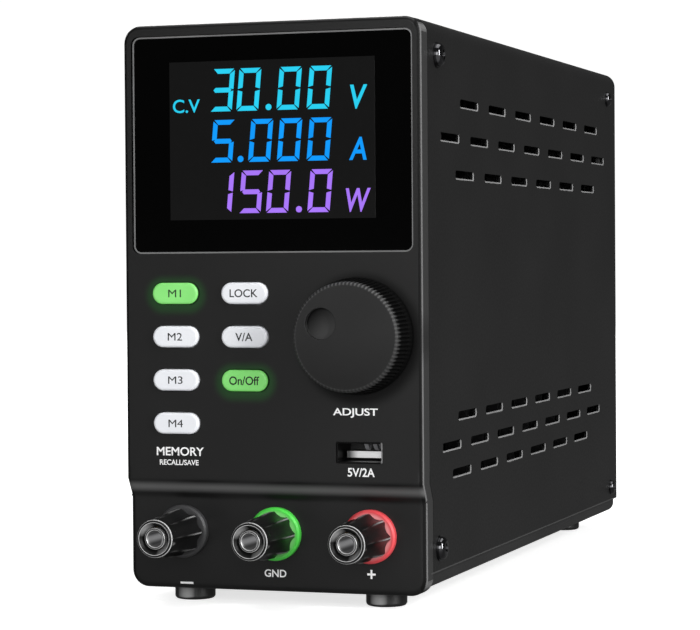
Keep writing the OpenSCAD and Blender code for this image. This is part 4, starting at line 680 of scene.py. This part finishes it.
# The dimple's dish has a low specular level. It is painted lighter towards its lower right as a painted
# highlight, with a painted shadow in a crescent at its upper left edge.
dimple_x, dimple_z, dimple_r = knob_x - 0.0068, knob_z + 0.00361, 0.0043
from_dimple, side_dimple, up_dimple = around(add, axes, dimple_x, dimple_z)
in_dimple = add("MapRange", (from_dimple, dimple_r - 0.0002, dimple_r, 1.0, 0.0))
down_right = add("Math", (side_dimple, up_dimple), operation="SUBTRACT")
dish_painted_light = add("MapRange", (down_right, -1.35 * dimple_r, 1.2 * dimple_r))
dish_painted_tone = add("MixRGB", (dish_painted_light, "#020202", "#464646"))
dish_edge = add("MapRange", (from_dimple, dimple_r - 0.0007, dimple_r - 0.0003))
far_side = add("MapRange", (down_right, -1.1 * dimple_r, -0.4 * dimple_r, 1.0, 0.0))
crescent_painted_shadow = add("Math", (dish_edge, far_side), operation="MULTIPLY")
dish_painted_tone = add("MixRGB", (crescent_painted_shadow, dish_painted_tone, "#000000"))
tone = add("MixRGB", (in_dimple, tone, dish_painted_tone))
matt = add("MapRange", (at_rim, 0, 1, 0.36, 0.6))
# The specular level is turned down where the rim's back and the dimple are painted.
painted_dark_zone = add("Math", (at_rim, back_painted_shade), operation="MULTIPLY")
painted_dark_zone = add("Math", (painted_dark_zone, in_dimple), operation="MAXIMUM")
gleam = add("MapRange", (painted_dark_zone, 0, 1, 0.35, 0.06))
plug(surface, {"Base Color": tone, "Roughness": matt, "Specular IOR Level": gleam})


# USB socket
# A drawn steel shell, nickel plated, round a white moulded tongue that carries four contacts on its
# upper side. Spring tabs pressed from the shell's roof grip the plug.
# Nickel plate: a dark mirror in the black panel. The cut edge at the right of its mouth is painted pale as a
# painted highlight.
nickel, add, surface, place, shade = finish("dark_nickel_plate", "#060606", "#0A0A0A", 4, 0.2, 2, 0.3,
                                             Specular_IOR_Level=0.12)
dress(nickel, "usb_shell")
axes = add("SeparateXYZ", (place,))
shell_right, shell_front = 0.0312, -0.111
cut_edge = add("MapRange", (axes.outputs["X"], shell_right, shell_right + 0.0002))
mouth = add("MapRange", (axes.outputs["Y"], shell_front, shell_front + 0.0015, 1.0, 0.0))
shell_edge_painted_highlight = add("Math", (cut_edge, mouth), operation="MULTIPLY")
tone = add("MixRGB", (shell_edge_painted_highlight, shade, "#9C9C9C"))
plug(surface, {"Base Color": tone})
# White liquid-crystal polymer: opaque and even. A painted glow on its front face, stronger towards the
# right, stands for the light that the shell gathers, and the rest is painted dark as painted shade.
tongue_front, lit_from, lit_to = -0.10515, 0.0204, 0.0232
tongue_white, add, surface, place, shade = finish("white_lcp_tongue", "#DADADA", "#E6E6E6", 5, 0.3, 4, 0.45,
                                                   Emission_Color="#FFFFFF")
axes = add("SeparateXYZ", (place,))
nose = add("MapRange", (axes.outputs["Y"], tongue_front + 0.0001, tongue_front + 0.0003, 1.0, 0.0))
nose_painted_glow = add("MapRange", (axes.outputs["X"], lit_from, lit_to, 0.02, 0.3))
glow = add("Math", (nose, nose_painted_glow), operation="MULTIPLY")
in_light = add("MapRange", (glow, 0, 0.25))
tongue_painted_shade = add("MixRGB", (in_light, "#202020", shade))
plug(surface, {"Base Color": tongue_painted_shade, "Emission Strength": glow})
dress(tongue_white, "usb_tongue")
# Glass-filled nylon: pale grey and satin.
slider_nylon = finish("pale_nylon", "#B4B6BA", "#C6C8CB", 5, 0.3, 4, 0.45)[0]
dress(slider_nylon, "selector_slider")
# Gilt phosphor bronze: thin hard gold, worn dull where plugs wipe it.
gilt = finish("gilt_contact_metal", "#3E3A30", "#4A4436", 3, 0.2, 2, 0.4, Metallic=0.6)[0]
contact_z = 0.04296
usb_contacts = join("usb_contacts", [
    block((x / 1000, tongue_front + 0.0033, contact_z), (0.0011, 0.0058, 0.00016), 0.00006, 2,
          contact_z + 0.00003) for x in (21.7, 24.2, 26.2, 28.7)], gilt)
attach(usb_contacts, "case")
springs = []
spring_front, spring_l = -0.1098, 0.0042
for x in (26.7, 29.2, 30.9):
    spring = flat_plate((x / 1000, spring_front + spring_l / 2, 0.04532), (0, 0, 0), 0.0011, spring_l)
    bpy.ops.object.mode_set(mode="EDIT")
    bpy.ops.mesh.select_all(action="SELECT")
    bpy.ops.mesh.subdivide(number_cuts=5)
    for share, dip in ((0.167, 0.0007), (0.333, 0.0014), (0.5, 0.0017), (0.667, 0.0012)):
        at_y = spring_front + spring_l * share
        pick("VERT", lambda at, out: abs(at.y - at_y) < spring_l / 20)
        bpy.ops.transform.translate(value=(0, 0, -dip))
    bpy.ops.mesh.select_all(action="SELECT")
    bpy.ops.mesh.solidify(thickness=0.0002)
    bpy.ops.object.mode_set(mode="OBJECT")
    spring.select_set(True)
    bpy.ops.object.shade_smooth_by_angle(angle=math.radians(40))
    springs.append(spring)
# Bare spring steel: satin grey.
spring_steel = finish("satin_spring_steel", "#7C7C7E", "#88888A", 3, 0.2, 2, 0.45)[0]
usb_springs = join("usb_springs", springs, spring_steel)
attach(usb_springs, "case")


# Binding posts
# Each post is a nickel-plated brass stud with a coloured collar on the panel and a fluted screw
# cap, moulded in black over a brass insert.
# Phenolic moulding: near black and satin, with sharp streaks of light on the flutes' edges, partly painted
# as painted highlights.
phenolic, add, surface, place, shade = finish("satin_black_phenolic", "#121212", "#161616", 5, 0.4,
                                               1.5, 0.34, Specular_IOR_Level=0.2)
dress(phenolic, "post_cap_negative", "post_cap_ground", "post_cap_positive")
soften(add, surface, 0.3)
post_pitch, post_z, post_tip = 0.0274, 0.02, -0.12975
tip_r, cone_r, bore_r, cap_r = 0.0052, 0.0044, 0.0022, 0.0059


def from_axis(add, place):
    """The distance from the nearest post's axis, and the place's own parts."""
    axes = add("SeparateXYZ", (place,))
    sideways = add("Math", (axes.outputs["X"], -post_pitch / 2, post_pitch / 2), operation="WRAP")
    height = add("Math", (axes.outputs["Z"], -post_z), operation="ADD")
    flat = add("CombineXYZ", (sideways, 0, height))
    return add("VectorMath", (flat,), operation="LENGTH"), axes, sideways, height


def ring(add, distance, radius, half_width):
    """1 on a ring of that radius in mm and 0 off it, with a soft edge."""
    off = add("Math", (distance, -radius / 1000), operation="ADD")
    off = add("Math", (off,), operation="ABSOLUTE")
    return add("MapRange", (off, half_width * 0.5e-3, half_width * 1.5e-3, 1.0, 0.0))


# Two fine rings on the tip, at the mouth's two thin lips, are painted pale grey as painted highlights.
distance, axes, sideways, height = from_axis(add, place)
outer, inner = ring(add, distance, 5.12, 0.09), ring(add, distance, 4.45, 0.07)
lips = add("Math", (outer, inner), operation="MAXIMUM")
at_tip = add("MapRange", (axes.outputs["Y"], post_tip + 0.0006, post_tip + 0.0007, 1.0, 0.0))
lips = add("Math", (lips, at_tip), operation="MULTIPLY")
# A painted highlight lightens the lands between the flutes near the base and the cap's side near its end.
flute_count = 8
turn = add("Math", (height, sideways), operation="ARCTAN2")
land = add("Math", (turn, flute_count / 2), operation="MULTIPLY")
land = add("Math", (land,), operation="SINE")
land = add("Math", (land,), operation="ABSOLUTE")
land = add("MapRange", (land, 0.05, 0.2, 1.0, 0.0))
near_base = add("MapRange", (axes.outputs["Y"], post_tip + 0.009, post_tip + 0.016))
streak = add("Math", (land, near_base), operation="MULTIPLY")
near_tip = add("MapRange", (axes.outputs["Y"], post_tip + 0.0008, post_tip + 0.008, 0.22, 0.0))
on_side = add("MapRange", (distance, tip_r, tip_r + 0.0002))
painted_light = add("Math", (streak, near_tip), operation="MAXIMUM")
painted_light = add("Math", (painted_light, on_side), operation="MULTIPLY")
tone = add("MixRGB", (painted_light, shade, "#9A9A9A"))
# A painted highlight on two opposite sides of the turned cone inside the mouth stands for its gleam.
in_cone = add("MapRange", (distance, cone_r - 0.0001, cone_r, 1.0, 0.0))
two_sides = add("Math", (turn, 2.0, 1.6), operation="MULTIPLY_ADD")
two_sides = add("Math", (two_sides,), operation="COSINE")
two_sides = add("MapRange", (two_sides, 0.2, 1.0, 0.0, 0.7))
gleam = add("Math", (in_cone, two_sides), operation="MULTIPLY")
tone = add("MixRGB", (gleam, tone, "#9A9A9A"))
tip_painted_highlights = add("MixRGB", (lips, tone, "#C4C4C4"))
plug(surface, {"Base Color": tip_painted_highlights})
# Nickel on the studs: dark, with the two lips of the mouth painted bright as painted highlights and the
# groove between them left dark. A painted glow, a soft level band in the bore, stands for light bouncing
# along it.
stud_nickel, add, surface, place, shade = finish("nickel_stud_painted_highlights", "#242424", "#2C2C2C", 4, 0.2, 2, 0.36,
                                                  Metallic=0.3)
dress(stud_nickel, "post_studs")
distance, _, _, height = from_axis(add, place)
stud_lip, bore_lip = ring(add, distance, 2.88, 0.1), ring(add, distance, 2.38, 0.1)
lip_painted_highlights = add("Math", (stud_lip, bore_lip), operation="MAXIMUM")
tone = add("MixRGB", (lip_painted_highlights, shade, "#BEBEBE"))
off_band = add("Math", (height, 0.0002), operation="ADD")
off_band = add("Math", (off_band,), operation="ABSOLUTE")
bore_painted_glow = add("MapRange", (off_band, 0.0002, 0.0014, 0.22, 0.03), interpolation_type="SMOOTHSTEP")
inside = add("MapRange", (distance, bore_r, bore_r + 0.0001, 1.0, 0.0))
bounce = add("Math", (bore_painted_glow, inside), operation="MULTIPLY")
plug(surface, {"Base Color": tone, "Emission Color": "#E6E6E8", "Emission Strength": bounce})
# Coloured nylon collars: dyed through and satin. Just round the cap their face is painted paler on the green
# and red ones and darker on the black one, as painted light and shade.
for node, dark, pale, painted_light in (("post_collar_negative", "#363637", "#3C3C3D", "#2C2C2D"),
                                 ("post_collar_ground", "#4AD246", "#56DE52", "#84E27C"),
                                 ("post_collar_positive", "#DA444A", "#E45056", "#F09496")):
    nylon, add, surface, place, shade = finish(node.replace("post_", "nylon_"), dark, pale, 5, 0.4, 4, 0.5)
    dress(nylon, node)
    distance = from_axis(add, place)[0]
    face = add("MapRange", (distance, cap_r, cap_r + 0.0008, 1.0, 0.0))
    dye = add("MixRGB", (face, shade, painted_light))
    plug(surface, {"Base Color": dye})


# Cover
# One folded steel sheet over the top and sides, powder coated with the tray, then punched: three
# rows of slots near the top and three near the bottom on each side.
cover_paint = finish("powder_coated_steel_cover", "#1A1A1A", "#1E1E1E", 35, 0.8, 14, 0.45,
                     Specular_IOR_Level=0.3)[0]
dress(cover_paint, "top_cover")
lips = []
slot_rows, last_slot = [], 209.2
for start, height, pitch in ((47.2, 138.9, 30.2), (27.4, 128.8, 30.2), (42.2, 118.7, 30.2),
                             (37.8, 35.2, 28.8), (27.7, 43.1, 28.8), (43.7, 51.0, 28.8)):
    slot_rows += [(start + i * pitch, height) for i in range(int((last_slot - start) // pitch) + 1)]
cover_x, slot_l, slot_h, lip_w, lip_rise = 0.04325, 0.0188, 0.0026, 0.00042, 0.00002
lip_pattern = flat_plate((0, 0, 0), (math.pi / 2, 0, math.pi / 2), slot_l, slot_h, slot_h * 0.4, 5)
hollow(lip_w)
pick("FACE", lambda at, out: at.z > -slot_h * 0.3 and at.y < slot_l * 0.46)
bpy.ops.mesh.delete(type="FACE")
pick("VERT", lambda at, out: abs(at.z) < slot_h / 2 - lip_w * 0.9 and abs(at.y) < slot_l / 2 - lip_w * 0.9)
bpy.ops.transform.translate(value=(-lip_w * 0.5, 0, 0))
bpy.ops.object.mode_set(mode="OBJECT")
for y, z in slot_rows:
    for side in (1, -1):
        where = Matrix.Translation(((cover_x + lip_rise) * side, panel_front + y / 1000, z / 1000))
        lip = copy_to(lip_pattern, where @ Matrix.Diagonal((side, 1, 1, 1)), "lip")
        if side < 0:
            lip.data.flip_normals()
        lips.append(lip)
bpy.data.objects.remove(lip_pattern)
# Punched edge: the tool rolls the sheet in and thins the coat to a pale grey satin, and the pale strip along
# each slot's lower and rear edge is also a painted highlight.
edge_coat_and_highlight = finish("punched_edge_thin_coat_and_highlight", "#7E7E7E", "#8C8C8C", 4, 0.3, 2, 0.5)[0]
slot_lips = join("slot_lips", lips, edge_coat_and_highlight)
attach(slot_lips, "case")
# The cover's lower edges are folded under, and the fold shows as a thin line over the tray. There the
# coat runs thin over the bend and looks a shade paler, and the paler line is also a painted highlight.
hem_coat_and_highlight = finish("fold_thin_coat_and_highlight", "#3E3E3E", "#464646", 20, 0.7, 8, 0.45)[0]
hem_y, hem_z, hem_l, hem_h = 0.01, 0.0098, 0.2292, 0.0004
cover_hems = join("cover_hems", [
    flat_plate(((cover_x + lip_rise) * side, hem_y, hem_z), (math.pi / 2, 0, math.pi / 2 * side), hem_l,
               hem_h, 0.00015, 3) for side in (1, -1)], hem_coat_and_highlight)
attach(cover_hems, "case")


# Rear wall
# A 60 mm fan behind a welded wire guard, a mains inlet with its fuse drawer, a rocker switch and a
# voltage selector, all bare of labels.
# Fan plastic: glass-filled polyester, black and matt.
fan_plastic = finish("black_glass_filled_polyester", "#1C1C1D", "#232324", 5, 0.35, 8, 0.5)[0]
dress(fan_plastic, "fan_frame", "fan_rotor")
# Chromed wire: bright, with the long soft streaks of drawn wire.
chrome = finish("chromed_wire", "#B6B8BB", "#CDCFD2", 4, 0.2, 2, 0.18, Metallic=1.0)[0]
dress(chrome, "fan_guard")
# Inlet and switch nylon: black, satin, moulded in polished tools.
inlet_nylon = finish("satin_black_nylon", "#171718", "#1E1E1F", 6, 0.4, 5, 0.38)[0]
dress(inlet_nylon, "mains_inlet", "fuse_drawer", "switch_housing", "power_rocker")
# Fuse: a glass tube between nickel caps, here one clear greenish-grey solid.
fuse_glass = finish("fuse_glass", "#C9CDCF", "#D8DCDD", 3, 0.4, 1, 0.08, Transmission_Weight=0.5)[0]
dress(fuse_glass, "fuses")
# Selector: red nylon, so that the mains voltage setting is easy to find.
selector_nylon = finish("red_nylon", "#A31F26", "#B82A30", 5, 0.4, 4, 0.34)[0]
dress(selector_nylon, "selector_housing")


# Studio
# A back-lit white table and wall that run together, with large soft boxes above, in front, at the
# right and behind, as a catalogue photograph is lit.
bpy.ops.mesh.primitive_plane_add(size=24, location=(0, 0, 0))
table = bpy.context.object
table.name = "light_table"
# Opal acrylic: matt white and lit from below, more brightly far away, so that shadows stay pale
# and the table runs into the wall. The object itself gets little of its light.
opal, add, surface, place = finish("opal_acrylic_table", "#DDDDDD", "#E2E2E2", 400, 60, 1, 0.7,
                                    Specular_IOR_Level=0.0, Emission_Color="#FFFFFF")[:4]
from_middle = add("VectorMath", (place,), operation="LENGTH")
table_light = add("MapRange", (from_middle, 0.3, 1.6, 0.72, 1.0), interpolation_type="SMOOTHSTEP")
plug(surface, {"Emission Strength": table_light})
seen = add("LightPath")
table_axes = add("SeparateXYZ", (place,))
shine = add("MapRange", (table_axes.outputs["Y"], -0.16, -0.1, 0.5, 0.12))
bounce = add("Emission", {"Color": "#FFFFFF", "Strength": shine})
table_mix = add("MixShader", (seen.outputs["Is Camera Ray"], bounce, surface))
plug(surface.outputs[0].links[0].to_node, (table_mix,))
table.data.materials.append(opal)


def soft_box(name, place, aim, width, height, watts):
    """A soft box at a place, turned to an aim."""
    bpy.ops.object.light_add(type="AREA", location=place)
    lamp = bpy.context.object
    lamp.name = name
    lamp.data.shape = "RECTANGLE"
    lamp.data.size, lamp.data.size_y = width, height
    lamp.data.energy = watts
    lamp.rotation_euler = (Vector(aim) - Vector(place)).to_track_quat("-Z", "Y").to_euler()
    lamp.visible_camera = False


soft_box("top_box", (0.0, 0.1, 1.5), (0, 0, 0.08), 1.4, 1.4, 12.0)
soft_box("front_box", (0.35, -2.0, 0.5), (0, -0.1, 0.08), 1.6, 0.9, 18.0)
soft_box("right_box", (1.7, -0.8, 0.7), (0, 0, 0.08), 0.5, 1.4, 40.0)
soft_box("back_box", (-1.2, 1.9, 1.0), (0, 0.05, 0.08), 1.2, 1.0, 34.0)
world = bpy.data.worlds.new("studio_air")
bpy.context.scene.world = world
world.use_nodes = True
world.node_tree.nodes.clear()
add = partial(add_to, world.node_tree)
sight = add("LightPath")
air = add("Background", {"Color": "#FFFFFF", "Strength": 0.05})
wall = add("Background", {"Color": "#FFFFFF", "Strength": 1.05})
both = add("MixShader", (sight.outputs["Is Camera Ray"], air, wall))
add("OutputWorld", (both,))
bpy.context.scene.view_settings.view_transform = "Standard"
